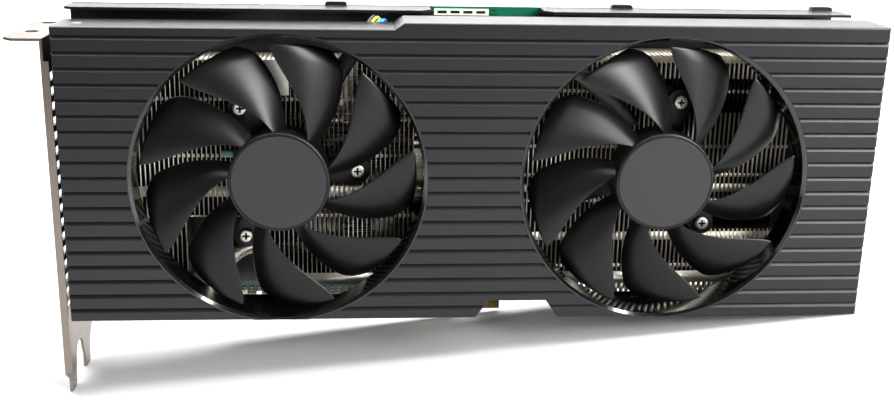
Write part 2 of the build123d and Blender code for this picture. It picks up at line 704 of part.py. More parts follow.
# ---- back of the card ------------------------------------------------------------------------------
def spring_screw_places():
    """The corners of the chip's retention pattern."""
    reach = SPRING_SCREW_REACH
    return [(CHIP_X + dx, CHIP_Z + dz) for dx in (-reach, reach) for dz in (-reach, reach)]


def retention_spring():
    """The crossed leaf spring that pulls the cold plate onto the chip."""
    front, back = BOARD_BACK + 0.5, BOARD_BACK + 1.5
    middle = (front + back) / 2
    span = 2 * math.hypot(SPRING_SCREW_REACH, SPRING_SCREW_REACH)
    spring = rod(CHIP_X, CHIP_Z, 14.0, front, back)
    for angle in (45, 135):
        spring += Pos(CHIP_X, middle, CHIP_Z) * Rot(0, angle, 0) * Box(span, back - front, 8.0)
    for x, z in spring_screw_places():
        spring += rod(x, z, 4.6, BOARD_BACK, back)
    spring -= rod(CHIP_X, CHIP_Z, 8.0, front - 1, back + 1)
    for x, z in spring_screw_places():
        spring -= rod(x, z, 1.9, BOARD_BACK - 1, back + 1)
    return spring


def spring_screws():
    """Four shouldered screws through the spring into the cold plate's posts."""
    seat = BOARD_BACK + 1.5
    return [back_screw(x, z, 3.0, 1.7, 1.5, 6.4, seat) for x, z in spring_screw_places()]


def board_clips():
    """Three black clips over the board's top edge."""
    clips = []
    for x in (89.4, 187.5, 258.2):
        clip = block(x - 3.7, x + 3.7, BOARD_FRONT, BOARD_BACK + 1.3, 119.0, 128.0)
        clip = fillet(clip.edges().filter_by(Axis.Y).group_by(Axis.Z)[-1], 0.9)
        clips.append(clip - block(x - 5, x + 5, BOARD_FRONT - 1, BOARD_BACK, 118.0, BOARD_TOP))
    return clips


# ---- assembly -----------------------------------------------------------------------------------
def nodes():
    """Every node's name and its solids, in the working frame."""
    made = {
        "shroud": shroud(), "shroud_screws": shroud_screws(), "bracket": bracket(),
        "bracket_screws": bracket_screws(), "bracket_nuts": bracket_nuts(),
        "mid_plate": mid_plate(), "cold_plate": cold_plate(), "heat_pipes": heat_pipes(),
        "fin_bridge": fin_bridge(), "fan_posts": fan_posts(), "fan_screws": fan_screws(),
        "circuit_board": circuit_board(), "edge_contacts": edge_contacts(),
        "gpu_substrate": gpu_substrate(), "gpu_die": gpu_die(), "memory_chips": memory_chips(),
        "memory_pads": memory_pads(), "inductors": inductors(), "power_stages": power_stages(),
        "capacitors": capacitors(), "controller_chips": controller_chips(),
        "board_header": board_header(), "display_shells": display_shells(),
        "display_cores": display_cores(), "video_shell": video_shell(),
        "video_core": video_core(), "power_socket": power_socket(), "power_pins": power_pins(),
        "retention_spring": retention_spring(), "spring_screws": spring_screws(),
        "board_clips": board_clips()}
    per_fan = {"rotor": rotor, "hub_disc": hub_disc, "magnet": magnet, "shaft": shaft,
               "bearing": bearing, "fan_base": fan_base, "stator_core": stator_core,
               "stator_coils": stator_coils, "fan_board": fan_board, "fan_lead": fan_lead,
               "fan_plug": fan_plug, "fan_header": fan_header, "fin_stack": fin_stack}
    for side in FAN_X:
        for name, make in per_fan.items():
            made[f"{side}_{name}"] = make(side)
    return made


def gathered(parts):
    """One compound of every solid in a shape or a list of shapes."""
    parts = parts if isinstance(parts, list) else [parts]
    return Compound(children=[solid for part in parts for solid in part.solids()])


def main():
    """Move everything to the bottom-centre origin and write one file per node."""
    made = {name: gathered(parts) for name, parts in nodes().items()}
    box = Compound(children=list(made.values())).bounding_box()
    shift = Pos(-box.center().X, -box.center().Y, -box.min.Z)
    print("shift", shift.position, "size", box.size)
    os.makedirs("parts", exist_ok=True)
    for name, group in made.items():
        solids = [shift * s for s in group.solids()]
        shape = solids[0] if len(solids) == 1 else Compound(children=solids)
        export_step(shape, f"parts/{name}.step")


main()
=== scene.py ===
# %% [markdown]
# # A two-fan graphics card, dressed in Blender
#
# The card's solids come from a CAD model, in metres and in place. This script adds what such a
# model leaves out: the finish of every piece, smooth fan blades, the folds on the fins, coloured
# wires and the small parts on the board. Each step has a cell that says what the real thing is,
# and then a short cell of code that makes it.

# %% The frame
import json
import math

import bmesh
import bpy
import numpy as np
from mathutils import Matrix, Vector


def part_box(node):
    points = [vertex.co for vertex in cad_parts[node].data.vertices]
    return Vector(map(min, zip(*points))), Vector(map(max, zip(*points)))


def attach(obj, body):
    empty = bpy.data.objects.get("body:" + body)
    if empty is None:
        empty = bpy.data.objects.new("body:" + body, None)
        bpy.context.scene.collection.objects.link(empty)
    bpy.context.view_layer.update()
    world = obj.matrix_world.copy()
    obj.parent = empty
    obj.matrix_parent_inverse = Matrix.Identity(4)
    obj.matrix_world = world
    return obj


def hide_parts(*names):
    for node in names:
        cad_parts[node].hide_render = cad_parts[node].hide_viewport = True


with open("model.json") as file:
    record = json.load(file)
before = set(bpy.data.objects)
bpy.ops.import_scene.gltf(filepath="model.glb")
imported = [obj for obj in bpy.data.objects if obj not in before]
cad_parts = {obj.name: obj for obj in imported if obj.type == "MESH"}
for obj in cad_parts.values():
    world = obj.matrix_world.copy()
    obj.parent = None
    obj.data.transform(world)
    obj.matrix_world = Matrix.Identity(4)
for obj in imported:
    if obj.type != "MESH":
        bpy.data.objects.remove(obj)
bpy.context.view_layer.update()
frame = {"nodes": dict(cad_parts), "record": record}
record = frame["record"]
MM = 0.001
SIDES = ("left", "right")

# %% [markdown]
# ## Places
# Everything is placed from the model itself. A fan's axis is its joint's position; the board's
# two faces and the cover's front come from those nodes' boxes. Two small functions read
# one edge of a node's box, so later cells can say "the board's back face" in words.


# %% Places read from the frame
def low(node, axis):
    """The lowest x, y or z of a node, by the letter of the axis."""
    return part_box(node)[0]["xyz".index(axis)]


def high(node, axis):
    """The highest x, y or z of a node."""
    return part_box(node)[1]["xyz".index(axis)]


fan_axis = {j["child"].split("_")[0]: Vector(j["pos_m"]) for j in record["behaviour"]["joints"]}
shroud_front = low("shroud", "y")
front_mm = low("circuit_board", "y") / MM
back_mm = high("circuit_board", "y") / MM
print("fan axes, mm:", {k: [round(c / MM, 1) for c in v] for k, v in fan_axis.items()})
print("board faces, mm:", round(front_mm, 2), round(back_mm, 2))

# %% [markdown]
# ## The camera
# A camera is a place, a direction and a lens. Aiming it at a point would keep it level, but the
# card leans on its bracket's tongues and its tail corner while its picture is nearly level, so
# the camera rolls a little. Its forward and rightward directions are therefore given outright,
# made square to one another, and crossed to find its upward one.

# %% Camera
EYE = Vector((-30.885, -375.4, 173.65)) * MM
AHEAD = Vector((0.07697, 0.95631, -0.28204))
RIGHTWARDS = Vector((0.99704, -0.07432, 0.02009))
LENS_MM, SENSOR_MM = 46.15, 36.0
forward = AHEAD.normalized()
right = (RIGHTWARDS - forward * RIGHTWARDS.dot(forward)).normalized()
up = right.cross(forward)
camera_data = bpy.data.cameras.new("camera")
camera_data.lens = LENS_MM
camera_data.sensor_width = SENSOR_MM
camera_data.clip_start = 0.01
camera = bpy.data.objects.new("camera", camera_data)
camera.matrix_world = Matrix((right, up, -forward)).transposed().to_4x4()
camera.matrix_world.translation = EYE
bpy.context.collection.objects.link(camera)
bpy.context.scene.camera = camera
print("camera", LENS_MM, "mm, from", [round(c, 3) for c in EYE])

# %% [markdown]
# ## Numpy surfaces
# Every new piece is a surface worked out as whole arrays. Most are a grid of points in rows and
# columns, or a crowd of boxes given by their corners. Turned shapes and tubes come later, and
# both are grids. Each hands its points and faces to the mesh in one go, which is quicker.


# %% Mesh makers
def mesh_piece(name, points, quads, body=None):
    """A mesh object from an (n, 3) array and an (m, 4) array, riding on a body if given one."""
    data = bpy.data.meshes.new(name)
    data.vertices.add(len(points))
    data.vertices.foreach_set("co", np.asarray(points, np.float32).ravel())
    data.loops.add(quads.size)
    data.loops.foreach_set("vertex_index", np.asarray(quads, np.int32).ravel())
    data.polygons.add(len(quads))
    data.polygons.foreach_set("loop_start", np.arange(0, quads.size, 4, dtype=np.int32))
    data.update(calc_edges=True)
    data.validate()
    piece = bpy.data.objects.new(name, data)
    bpy.context.collection.objects.link(piece)
    if body:
        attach(piece, body)
    return piece


def grid_quads(rows, columns, wrap_rows=False, wrap_columns=False):
    """Faces of a grid of points numbered row by row; a wrapped side joins its two ends."""
    i = np.arange(rows if wrap_rows else rows - 1)[:, None]
    j = np.arange(columns if wrap_columns else columns - 1)[None, :]
    a = i * columns + j
    b = i * columns + (j + 1) % columns
    c = ((i + 1) % rows) * columns + (j + 1) % columns
    d = ((i + 1) % rows) * columns + j
    return np.stack([a, b, c, d], axis=-1).reshape(-1, 4)


def tube_quads(rings, sides):
    """Faces of a stack of rings of points, with quads across the first and the last ring."""
    k = np.arange(sides // 2 - 1)
    cap = np.stack([k, k + 1, sides - 2 - k, sides - 1 - k], axis=-1)
    far = cap[:, ::-1] + (rings - 1) * sides
    return np.concatenate([grid_quads(rings, sides, wrap_columns=True), cap, far])


BOX_CORNERS = np.array([[x, y, z] for x in (0, 1) for y in (0, 1) for z in (0, 1)])
BOX_FACES = np.array([[0, 1, 3, 2], [4, 6, 7, 5], [0, 4, 5, 1], [2, 3, 7, 6], [0, 2, 6, 4],
                      [1, 5, 7, 3]])


def boxes(lows, highs):
    """Points and faces of many boxes: corner k of box n is low + (high - low) * corner."""
    lows, highs = np.asarray(lows, float), np.asarray(highs, float)
    points = lows[:, None, :] + (highs - lows)[:, None, :] * BOX_CORNERS
    faces = BOX_FACES + 8 * np.arange(len(lows))[:, None, None]
    return points.reshape(-1, 3), faces.reshape(-1, 4)


def merge(*parts):
    """Joins several (points, faces) pairs into one, renumbering the faces."""
    points, faces, start = [], [], 0
    for p, f in parts:
        points.append(p)
        faces.append(f + start)
        start += len(p)
    return np.concatenate(points), np.concatenate(faces)


print("makers ready")

# %% [markdown]
# ## Colours and nodes
# Colours are written as the sRGB hex values that a paint chart would give, and one function
# turns them into the linear numbers that a renderer works in. One other function adds a node:
# it sets the node's own settings, then each input, either to a value or to another node's
# output. A Mix node holds the sockets of every kind of data at once, all with the same names,
# so the ones for numbers and for colours are picked by their places. A slow noise and a colour
# that follows it start most finishes, so those two nodes have a function.


# %% Colour and node helpers
NUMBER_A, NUMBER_B, MIXED_NUMBER = 2, 3, 0
COLOUR_A, COLOUR_B, MIXED_COLOUR = 6, 7, 2


def linear(code):
    """Hex sRGB to linear: c / 12.92 up to 0.04045, else ((c + 0.055) / 1.055) ** 2.4."""
    parts = [int(code[k:k + 2], 16) / 255 for k in (1, 3, 5)]
    return tuple(c / 12.92 if c <= 0.04045 else ((c + 0.055) / 1.055) ** 2.4
                 for c in parts) + (1.0,)


def add(material, kind, inputs=None, **settings):
    """Adds one node to a material or a world: its settings, its inputs' values or links."""
    node = material.node_tree.nodes.new(kind)
    for name, value in settings.items():
        setattr(node, name, value)
    for name, value in (inputs or {}).items():
        if isinstance(value, bpy.types.NodeSocket):
            material.node_tree.links.new(value, node.inputs[name])
        else:
            node.inputs[name].default_value = value
    return node


def new_material(name):
    """An empty node material."""
    material = bpy.data.materials.new(name)
    material.use_nodes = True
    material.node_tree.nodes.clear()
    return material


def placed_material(name):
    """An empty node material, and the output that gives each point's place in metres."""
    material = new_material(name)
    return material, add(material, "ShaderNodeTexCoord").outputs["Object"]


def surface(material, inputs):
    """Ends a material: a principled shader with these inputs, joined to the output."""
    shader = add(material, "ShaderNodeBsdfPrincipled", inputs)
    add(material, "ShaderNodeOutputMaterial", {"Surface": shader.outputs["BSDF"]})
    material.diffuse_color = tuple(shader.inputs["Base Color"].default_value)
    return material


def per_mm(size):
    """A texture scale that repeats about every size millimetres."""
    return 1 / (size * MM)


def clouded(material, place, size_mm, detail, dark, light):
    """A slow noise, and a colour that follows it from dark to light: the outputs of both."""
    noise = add(material, "ShaderNodeTexNoise",
                {"Vector": place, "Scale": per_mm(size_mm), "Detail": detail})
    colour = add(material, "ShaderNodeMix",
                 {"Factor": noise.outputs["Fac"], COLOUR_A: linear(dark),
                  COLOUR_B: linear(light)}, data_type="RGBA")
    return noise.outputs["Fac"], colour.outputs[MIXED_COLOUR]


print("hex #808080 is", round(linear("#808080")[0], 4), "linear")

# %% [markdown]
# ## Moulded plastics
# The blades are glass-filled PBT from a polished mould, nearly black and satin. The label on a
# hub is matt, sockets and clips are nylon and acetal, and chips are moulded epoxy. All are one
# recipe: a base colour and a roughness that drift slowly, and a bump the size of the mould's
# grain. A perfectly even plastic looks like paint in a computer picture, so the drift matters.


# %% Plastics
DRIFT_MM = 35.0


def moulded(name, dark, light, roughness, grain_mm, relief_mm, spread=0.05, level=0.5):
    """Colour and roughness follow a slow noise; a fine noise of grain_mm lifts by relief_mm."""
    material, place = placed_material(name)
    drift, colour = clouded(material, place, DRIFT_MM, 3.0, dark, light)
    rough = add(material, "ShaderNodeMapRange",
                {"Value": drift, "To Min": roughness - spread, "To Max": roughness + spread})
    grain = add(material, "ShaderNodeTexNoise",
                {"Vector": place, "Scale": per_mm(grain_mm), "Detail": 2.0})
    bump = add(material, "ShaderNodeBump", {"Height": grain.outputs["Fac"], "Strength": 0.7,
                                            "Distance": relief_mm * MM})
    return surface(material, {"Base Color": colour, "Roughness": rough.outputs["Result"],
                              "Normal": bump.outputs["Normal"], "IOR": 1.5,
                              "Specular IOR Level": level})


black_pbt = moulded("satin_black_pbt", "#040405", "#070708", 0.36, 2.0, 0.008,
                    spread=0.03, level=0.3)
grey_label = moulded("matt_grey_polyester_label", "#1b1b1d", "#202022", 0.5, 0.3, 0.008,
                     level=0.4)
black_nylon = moulded("black_glass_filled_nylon", "#111112", "#1a1a1b", 0.42, 0.4, 0.015)
ivory_nylon = moulded("ivory_nylon", "#d6cfb8", "#e2dcc8", 0.42, 0.4, 0.01)
clip_acetal = moulded("black_acetal", "#0d0d0e", "#131314", 0.42, 0.6, 0.01, level=0.25)
silicone = moulded("grey_silicone_thermal_pad", "#8d949b", "#9da4aa", 0.75, 0.6, 0.03)
epoxy = moulded("black_moulded_epoxy", "#19191b", "#232325", 0.55, 0.25, 0.012)
bonded_ferrite = moulded("bonded_ferrite_rubber", "#2b2926", "#35322e", 0.65, 0.5, 0.02)
ferrite = moulded("pressed_grey_ferrite", "#55565a", "#66676b", 0.6, 0.25, 0.02)
white_film = moulded("blank_white_polyester_film", "#e9e9e6", "#f2f2ef", 0.45, 0.4, 0.004)
print("plastics:", len(bpy.data.materials))

# %% [markdown]
# ## The cover's two finishes
# The cover is an injection-moulded ABS blend. Its face comes from a mould with a fine
# spark-eroded grain: charcoal and satin, with a soft broad highlight. Its fan ducts come from
# polished round cores, so inside the openings the same plastic is shiny, and there its colour is
# darkened to black as painted shade. The narrow rim where a duct meets the face is shiniest of
# all. The material measures how far each point is from a fan's axis and changes finish there;
# the rim's extra gloss is a clear coat.


# %% Charcoal cover
DUCT_MM, RIM_MM = 46.45, 47.45
FACE_ROUGHNESS, DUCT_ROUGHNESS = 0.3, 0.12


def grained_cover(name):
    """Grained charcoal; within RIM_MM of a fan's axis, polished, with black painted shade."""
    material, place = placed_material(name)
    flat = add(material, "ShaderNodeVectorMath", {0: place, 1: (1.0, 0.0, 1.0)},
               operation="MULTIPLY").outputs["Vector"]
    near = [add(material, "ShaderNodeVectorMath", {0: flat, 1: (axis.x, 0.0, axis.z)},
                operation="DISTANCE").outputs["Value"] for axis in fan_axis.values()]
    nearest = add(material, "ShaderNodeMath", {0: near[0], 1: near[1]}, operation="MINIMUM")
    duct = add(material, "ShaderNodeMath",
               {0: nearest.outputs["Value"], 1: RIM_MM * MM}, operation="LESS_THAN")
    outer = add(material, "ShaderNodeMath",
                {0: nearest.outputs["Value"], 1: DUCT_MM * MM}, operation="GREATER_THAN")
    rim = add(material, "ShaderNodeMath",
              {0: duct.outputs["Value"], 1: outer.outputs["Value"]}, operation="MULTIPLY")
    face = clouded(material, place, DRIFT_MM, 3.0, "#111113", "#18181a")[1]
    # painted shade: inside the ducts the colour is darkened to #060607; the lower roughness is the
    # polish
    colour = add(material, "ShaderNodeMix",
                 {"Factor": duct.outputs["Value"], COLOUR_A: face,
                  COLOUR_B: linear("#060607")}, data_type="RGBA")
    rough = add(material, "ShaderNodeMix",
                {"Factor": duct.outputs["Value"], NUMBER_A: FACE_ROUGHNESS,
                 NUMBER_B: DUCT_ROUGHNESS})
    grain = add(material, "ShaderNodeTexNoise",
                {"Vector": place, "Scale": per_mm(0.5), "Detail": 2.0})
    bump = add(material, "ShaderNodeBump", {"Height": grain.outputs["Fac"], "Strength": 0.6,
                                            "Distance": 0.02 * MM})
    return surface(material, {"Base Color": colour.outputs[MIXED_COLOUR],
                              "Roughness": rough.outputs[MIXED_NUMBER],
                              "Normal": bump.outputs["Normal"], "IOR": 1.5,
                              "Coat Weight": rim.outputs["Value"], "Coat Roughness": 0.06,
                              "Specular IOR Level": 0.34})


charcoal_abs = grained_cover("charcoal_spark_grain_abs")
black_enamel = moulded("black_electrocoated_steel", "#0a0a0b", "#101011", 0.34, 0.8, 0.01)
print("cover finish:", charcoal_abs.name)

# %% [markdown]
# ## Metals
# Nothing here is polished bare metal: the bracket and the fins are nickel-plated, which is
# warm and silvery, the bridge over the fins is rolled aluminium, the contacts are gold on
# nickel. What tells them apart is how each was worked. Rolled and brushed sheet carries fine
# lines one way, so its noise is stretched; barrel-plated screws are even; handled parts show
# slow cloudy patches of thin oil film. A metal's colour is its reflection, so the base colour
# is light, metallic is one, and the default IOR stays.


# %% Metals
def worked_metal(name, dark, light, roughness, line_mm=(40.0, 40.0, 40.0), relief_mm=0.0,
                 spread=0.08, cloud_mm=14.0):
    """Metal whose roughness follows clouds, with fine lines as long as line_mm along x, y, z."""
    material, place = placed_material(name)
    clouds, colour = clouded(material, place, cloud_mm, 4.0, dark, light)
    stretch = add(material, "ShaderNodeMapping",
                  {"Vector": place, "Scale": tuple(per_mm(length) for length in line_mm)})
    lines = add(material, "ShaderNodeTexNoise",
                {"Vector": stretch.outputs["Vector"], "Scale": 1.0, "Detail": 2.0})
    both = add(material, "ShaderNodeMath",
               {0: clouds, 1: lines.outputs["Fac"]}, operation="MULTIPLY")
    wear = add(material, "ShaderNodeMapRange",
               {"Value": both.outputs["Value"], "From Min": 0.12, "From Max": 0.4,
                "To Min": roughness - spread, "To Max": roughness + spread})
    inputs = {"Base Color": colour, "Roughness": wear.outputs["Result"], "Metallic": 1.0}
    if relief_mm:
        bump = add(material, "ShaderNodeBump", {"Height": lines.outputs["Fac"],
                                                "Strength": 0.5, "Distance": relief_mm * MM})
        inputs["Normal"] = bump.outputs["Normal"]
    return surface(material, inputs)


ALONG_Z = (0.3, 0.3, 25.0)
ALONG_X = (25.0, 0.3, 0.3)
nickel_sheet = worked_metal("brushed_nickel_plated_steel", "#786f67", "#8b8279", 0.34,
                            ALONG_Z, 0.006)
nickel_screw = worked_metal("barrel_nickel_plated_screw", "#cdc8bf", "#e0dcd4", 0.36)
black_zinc = worked_metal("black_zinc_plated_screw", "#1d1d1f", "#2a2a2c", 0.38)
rolled_aluminium = worked_metal("rolled_aluminium_sheet", "#c3c1b6", "#d7d5ca", 0.38,
                                ALONG_X, 0.005)
pale_nickel = worked_metal("pale_nickel_plated_strip", "#e4ddcc", "#f4eedf", 0.42, ALONG_X, 0.003)
nickel_pipe = worked_metal("nickel_plated_copper_pipe", "#d2c6b6", "#e2d8ca", 0.27,
                           ALONG_X, 0.004)
nickel_block = worked_metal("milled_nickel_plated_copper", "#c9bfb0", "#d9d0c2", 0.3,
                            ALONG_X, 0.006)
hard_gold = worked_metal("hard_gold_plate", "#d8ab55", "#e9c374", 0.22)
ground_steel = worked_metal("ground_steel_shaft", "#b3b3b2", "#c6c6c4", 0.2)
bronze = worked_metal("oil_filled_sintered_bronze", "#9c7440", "#b08650", 0.45, (0.4,) * 3, 0.02)
laminated_iron = worked_metal("laminated_silicon_iron", "#6b6c6f", "#808184", 0.5,
                              (20.0, 0.5, 20.0), 0.05)
copper_wire = worked_metal("enamelled_copper_wire", "#a8562c", "#c06a3a", 0.3,
                           (0.5, 0.35, 0.5), 0.06)
spring_black = worked_metal("black_oxide_spring_steel", "#1b1b1d", "#29292b", 0.42)
bright_tin = worked_metal("reflowed_tin_solder", "#c9cbcc", "#dfe1e1", 0.25)
silicon = worked_metal("polished_silicon_die", "#3b3d44", "#4a4d55", 0.1)
print("materials so far:", len(bpy.data.materials))

# %% [markdown]
# ## Fin metal
# A fin is stamped from nickel-plated strip. Its cut front edge and its folds are bright and
# slightly rough. Its flat sides face one another across a gap of a millimetre, where shade
# falls, so their colour is darkened as painted shade. Depth behind the front edge tells the two
# apart, in one smooth step about a millimetre deep; the top rim keeps the bright colour. The same
# mask of depth serves the next step.


# %% Fin metal
def depth_mask(material, place, node, start_mm, end_mm, rim_mm):
    """0 at a node's front, 1 from start to end behind it, and 0 again in its top rim."""
    parts = add(material, "ShaderNodeSeparateXYZ", {"Vector": place})
    front = low(node, "y")
    inside = add(material, "ShaderNodeMapRange",
                 {"Value": parts.outputs["Y"], "From Min": front + start_mm * MM,
                  "From Max": front + end_mm * MM})
    below = add(material, "ShaderNodeMath",
                {0: parts.outputs["Z"], 1: high(node, "z") - rim_mm * MM},
                operation="LESS_THAN")
    return add(material, "ShaderNodeMath", {0: inside.outputs["Result"],
                                            1: below.outputs["Value"]}, operation="MULTIPLY")


def fin_metal(name, depth_mm):
    """Bright metal at the front edge, turning by depth_mm behind it to a dark painted shade."""
    material, place = placed_material(name)
    painted_shade = depth_mask(material, place, "left_fin_stack", 0.0, depth_mm, 0.4)
    clouds, bright = clouded(material, place, 6.0, 3.0, "#e6decb", "#fbf6ea")
    # painted shade: behind the front edge the fin sides take a dark colour for the shade between
    # fins
    colour = add(material, "ShaderNodeMix",
                 {"Factor": painted_shade.outputs["Value"], COLOUR_A: bright,
                  COLOUR_B: linear("#4b463d")}, data_type="RGBA")
    rough = add(material, "ShaderNodeMapRange",
                {"Value": clouds, "To Min": 0.5, "To Max": 0.72})
    return surface(material, {"Base Color": colour.outputs[MIXED_COLOUR], "Metallic": 1.0,
                              "Roughness": rough.outputs["Result"]})


nickel_fin = fin_metal("nickel_plated_fin", 1.2)
print("fin finish:", nickel_fin.name)

# %% [markdown]
# ## Recesses that read dark
# A screw's cross and a socket's windows are holes a millimetre deep, where shade falls, and they
# read almost black. The same mask of depth that paints shade on the fins paints shade in them:
# everything more than a fraction of a millimetre behind the front face takes a dark colour as
# painted shade.


# %% Recessed finishes
def recessed(name, node, light, dark, mask_mm, metallic, roughness):
    """Light at a node's front face, painted shade in its recesses; mask_mm is (start, end, rim).
    """
    material, place = placed_material(name)
    deep = depth_mask(material, place, node, *mask_mm)
    # painted shade: the recesses take the dark colour for the shade that falls in them
    colour = add(material, "ShaderNodeMix", {"Factor": deep.outputs["Value"],
                                             COLOUR_A: linear(light), COLOUR_B: linear(dark)},
                 data_type="RGBA")
    return surface(material, {"Base Color": colour.outputs[MIXED_COLOUR], "Metallic": metallic,
                              "Roughness": roughness})


cross_screw = recessed("nickel_cross_recess_screw", "fan_screws", "#d8d3ca", "#0c0b0a",
                       (0.5, 0.7, -1.0), 1.0, 0.36)
slotted_nylon = recessed("ivory_nylon_windows", "board_header", "#dcd6c2", "#0d0f0e",
                         (0.2, 0.3, 0.3), 0.0, 0.42)
print("recessed:", cross_screw.name, slotted_nylon.name)

# %% [markdown]
# ## The printed circuit board
# A board is woven glass and epoxy with copper etched on it, under a green lacquer called solder
# mask. Copper under the mask shows as slightly paler green: wide pours in some places, packs of
# thin tracks in others. Where two layers join there is a small tinned hole. A Voronoi pattern
# cuts the board into blocks, each block's random colour decides which way its tracks run, and
# a second, finer Voronoi puts the holes in. Tracks are really about 0.15 mm wide; they are drawn
# at 0.35 mm so that they show.


# %% Solder mask
BLOCK_MM, TRACK_PITCH_MM, HOLE_SPACING_MM = 11.0, 0.7, 2.6
WAVES_PER_UNIT = 6.28


def solder_mask(name):
    """Green lacquer over tracks: two wave patterns at right angles, chosen block by block."""
    material, place = placed_material(name)
    blocks = add(material, "ShaderNodeTexVoronoi", {"Vector": place, "Scale": per_mm(BLOCK_MM)},
                 distance="MANHATTAN")
    pick = add(material, "ShaderNodeSeparateColor", {"Color": blocks.outputs["Color"]})
    tracks = [add(material, "ShaderNodeTexWave",
                  {"Vector": place, "Scale": per_mm(TRACK_PITCH_MM * WAVES_PER_UNIT)},
                  bands_direction=way).outputs["Fac"] for way in ("X", "Z")]
    which = add(material, "ShaderNodeMath", {0: pick.outputs["Red"], 1: 0.5},
                operation="GREATER_THAN")
    track = add(material, "ShaderNodeMix",
                {"Factor": which.outputs["Value"], NUMBER_A: tracks[0], NUMBER_B: tracks[1]})
    pour = add(material, "ShaderNodeMath", {0: pick.outputs["Green"], 1: 0.55},
               operation="GREATER_THAN")
    copper = add(material, "ShaderNodeMath",
                 {0: track.outputs[MIXED_NUMBER], 1: pour.outputs["Value"]},
                 operation="MAXIMUM", use_clamp=True)
    green = add(material, "ShaderNodeMix",
                {"Factor": copper.outputs["Value"], COLOUR_A: linear("#06382a"),
                 COLOUR_B: linear("#0d5540")}, data_type="RGBA")
    holes = add(material, "ShaderNodeTexVoronoi",
                {"Vector": place, "Scale": per_mm(HOLE_SPACING_MM)})
    hole = add(material, "ShaderNodeMath", {0: holes.outputs["Distance"], 1: 0.13},
               operation="LESS_THAN")
    colour = add(material, "ShaderNodeMix",
                 {"Factor": hole.outputs["Value"], COLOUR_A: green.outputs[MIXED_COLOUR],
                  COLOUR_B: linear("#9fa79a")}, data_type="RGBA")
    bump = add(material, "ShaderNodeBump", {"Height": copper.outputs["Value"],
                                            "Strength": 0.5, "Distance": 0.03 * MM})
    return surface(material, {"Base Color": colour.outputs[MIXED_COLOUR], "Roughness": 0.28,
                              "Normal": bump.outputs["Normal"], "IOR": 1.52})


green_mask = solder_mask("green_solder_mask")
print("board finish:", green_mask.name)

# %% [markdown]
# ## Small finishes
# Wire insulation is extruded PVC: smooth, a little waxy, in strong colours. Resistors and
# ceramic capacitors are fired ceramic with tinned ends. All are tiny in any view, so a plain
# shader with the right colour and gloss is enough.


# %% Wires, ceramics
def plain(name, colour, roughness, ior=1.5):
    """One colour and one gloss."""
    return surface(new_material(name),
                   {"Base Color": linear(colour), "Roughness": roughness, "IOR": ior})


WIRE_COLOURS = {"black": "#161617", "yellow": "#d9b21f", "teal": "#1f9a93", "blue": "#3a62b8"}
wire_pvc = {key: plain(f"{key}_pvc_insulation", code, 0.4) for key, code in WIRE_COLOURS.items()}
black_sleeve = plain("black_polyolefin_sleeve", "#0d0d0e", 0.45)
ceramic = plain("tan_fired_ceramic", "#7d5f45", 0.35, 1.6)
alumina = plain("black_glazed_resistor", "#161618", 0.25, 1.6)
white_silicone = plain("white_silicone_pad", "#e4e4e0", 0.6)
frosted_film = plain("frosted_grey_polyester_film", "#7d7b80", 0.45)
pale_sleeve = plain("pale_blue_silicone_sleeve", "#9fd0e2", 0.4)
print("wires:", ", ".join(wire_pvc))

# %% [markdown]
# ## Dressing the CAD pieces
# Every CAD piece that stays visible takes one of these finishes. A node's mesh may already hold
# a plain material from the CAD model, so the slots are cleared first.

# %% Finishes on the CAD nodes
FINISHES = {
    "shroud": charcoal_abs, "shroud_screws": black_zinc, "bracket": nickel_sheet,
    "bracket_screws": nickel_screw, "bracket_nuts": nickel_screw, "mid_plate": black_enamel,
    "cold_plate": nickel_block, "heat_pipes": nickel_pipe, "fin_bridge": rolled_aluminium,
    "fan_posts": nickel_screw, "fan_screws": cross_screw, "circuit_board": green_mask,
    "edge_contacts": hard_gold, "gpu_substrate": green_mask, "gpu_die": silicon,
    "memory_chips": epoxy, "memory_pads": silicone, "inductors": ferrite, "power_stages": epoxy,
    "capacitors": black_nylon, "controller_chips": epoxy, "board_header": slotted_nylon,
    "display_shells": nickel_sheet, "display_cores": black_nylon, "video_shell": nickel_sheet,
    "video_core": black_nylon, "power_socket": black_nylon, "power_pins": bright_tin,
    "retention_spring": spring_black, "spring_screws": nickel_screw, "board_clips": clip_acetal}
FAN_FINISHES = {
    "rotor": black_pbt, "hub_disc": grey_label, "magnet": bonded_ferrite, "shaft": ground_steel,
    "bearing": bronze, "fan_base": black_pbt, "stator_core": laminated_iron,
    "stator_coils": copper_wire, "fan_board": green_mask, "fan_lead": wire_pvc["black"],
    "fan_plug": ivory_nylon, "fan_header": ivory_nylon, "fin_stack": nickel_fin}


def dress(piece, *materials):
    """Puts these materials, and only these, in a piece's slots."""
    piece.data.materials.clear()
    for material in materials:
        piece.data.materials.append(material)


for node, finish in FINISHES.items():
    dress(frame["nodes"][node], finish)
for side in SIDES:
    for part, finish in FAN_FINISHES.items():
        dress(frame["nodes"][f"{side}_{part}"], finish)
print("nodes dressed:", len(FINISHES) + 2 * len(FAN_FINISHES), "of", len(frame["nodes"]))

# %% [markdown]
# ## Fan blades
# Each fan is one moulding: a hub cup with nine swept blades. A blade is a thin curved wing, and
# the CAD model cuts it coarsely, so the turning fans are made again here as smooth surfaces. A
# blade's section is a closed loop of points: it runs along the front skin from the leading
# edge to the trailing edge and back along the rear skin. Carrying that loop from the hub to
# the tip, with the angles and depths changing on the way, gives the sweep and the twist.

# %% Blade
BLADES = 9
BLADE_ROOT, BLADE_TIP, HUB_RADIUS = 15.4, 44.2, 16.3
BLADE_THICKNESS, CAMBER, RIM_FADE = 1.3, 0.17, 0.6
TAPER_END, CORNER_START = 46.2, 39.5
FIRST_BLADE = {"left": 13.2, "right": 11.2}
LOOP_POINTS, SPAN_POINTS = 48, 44


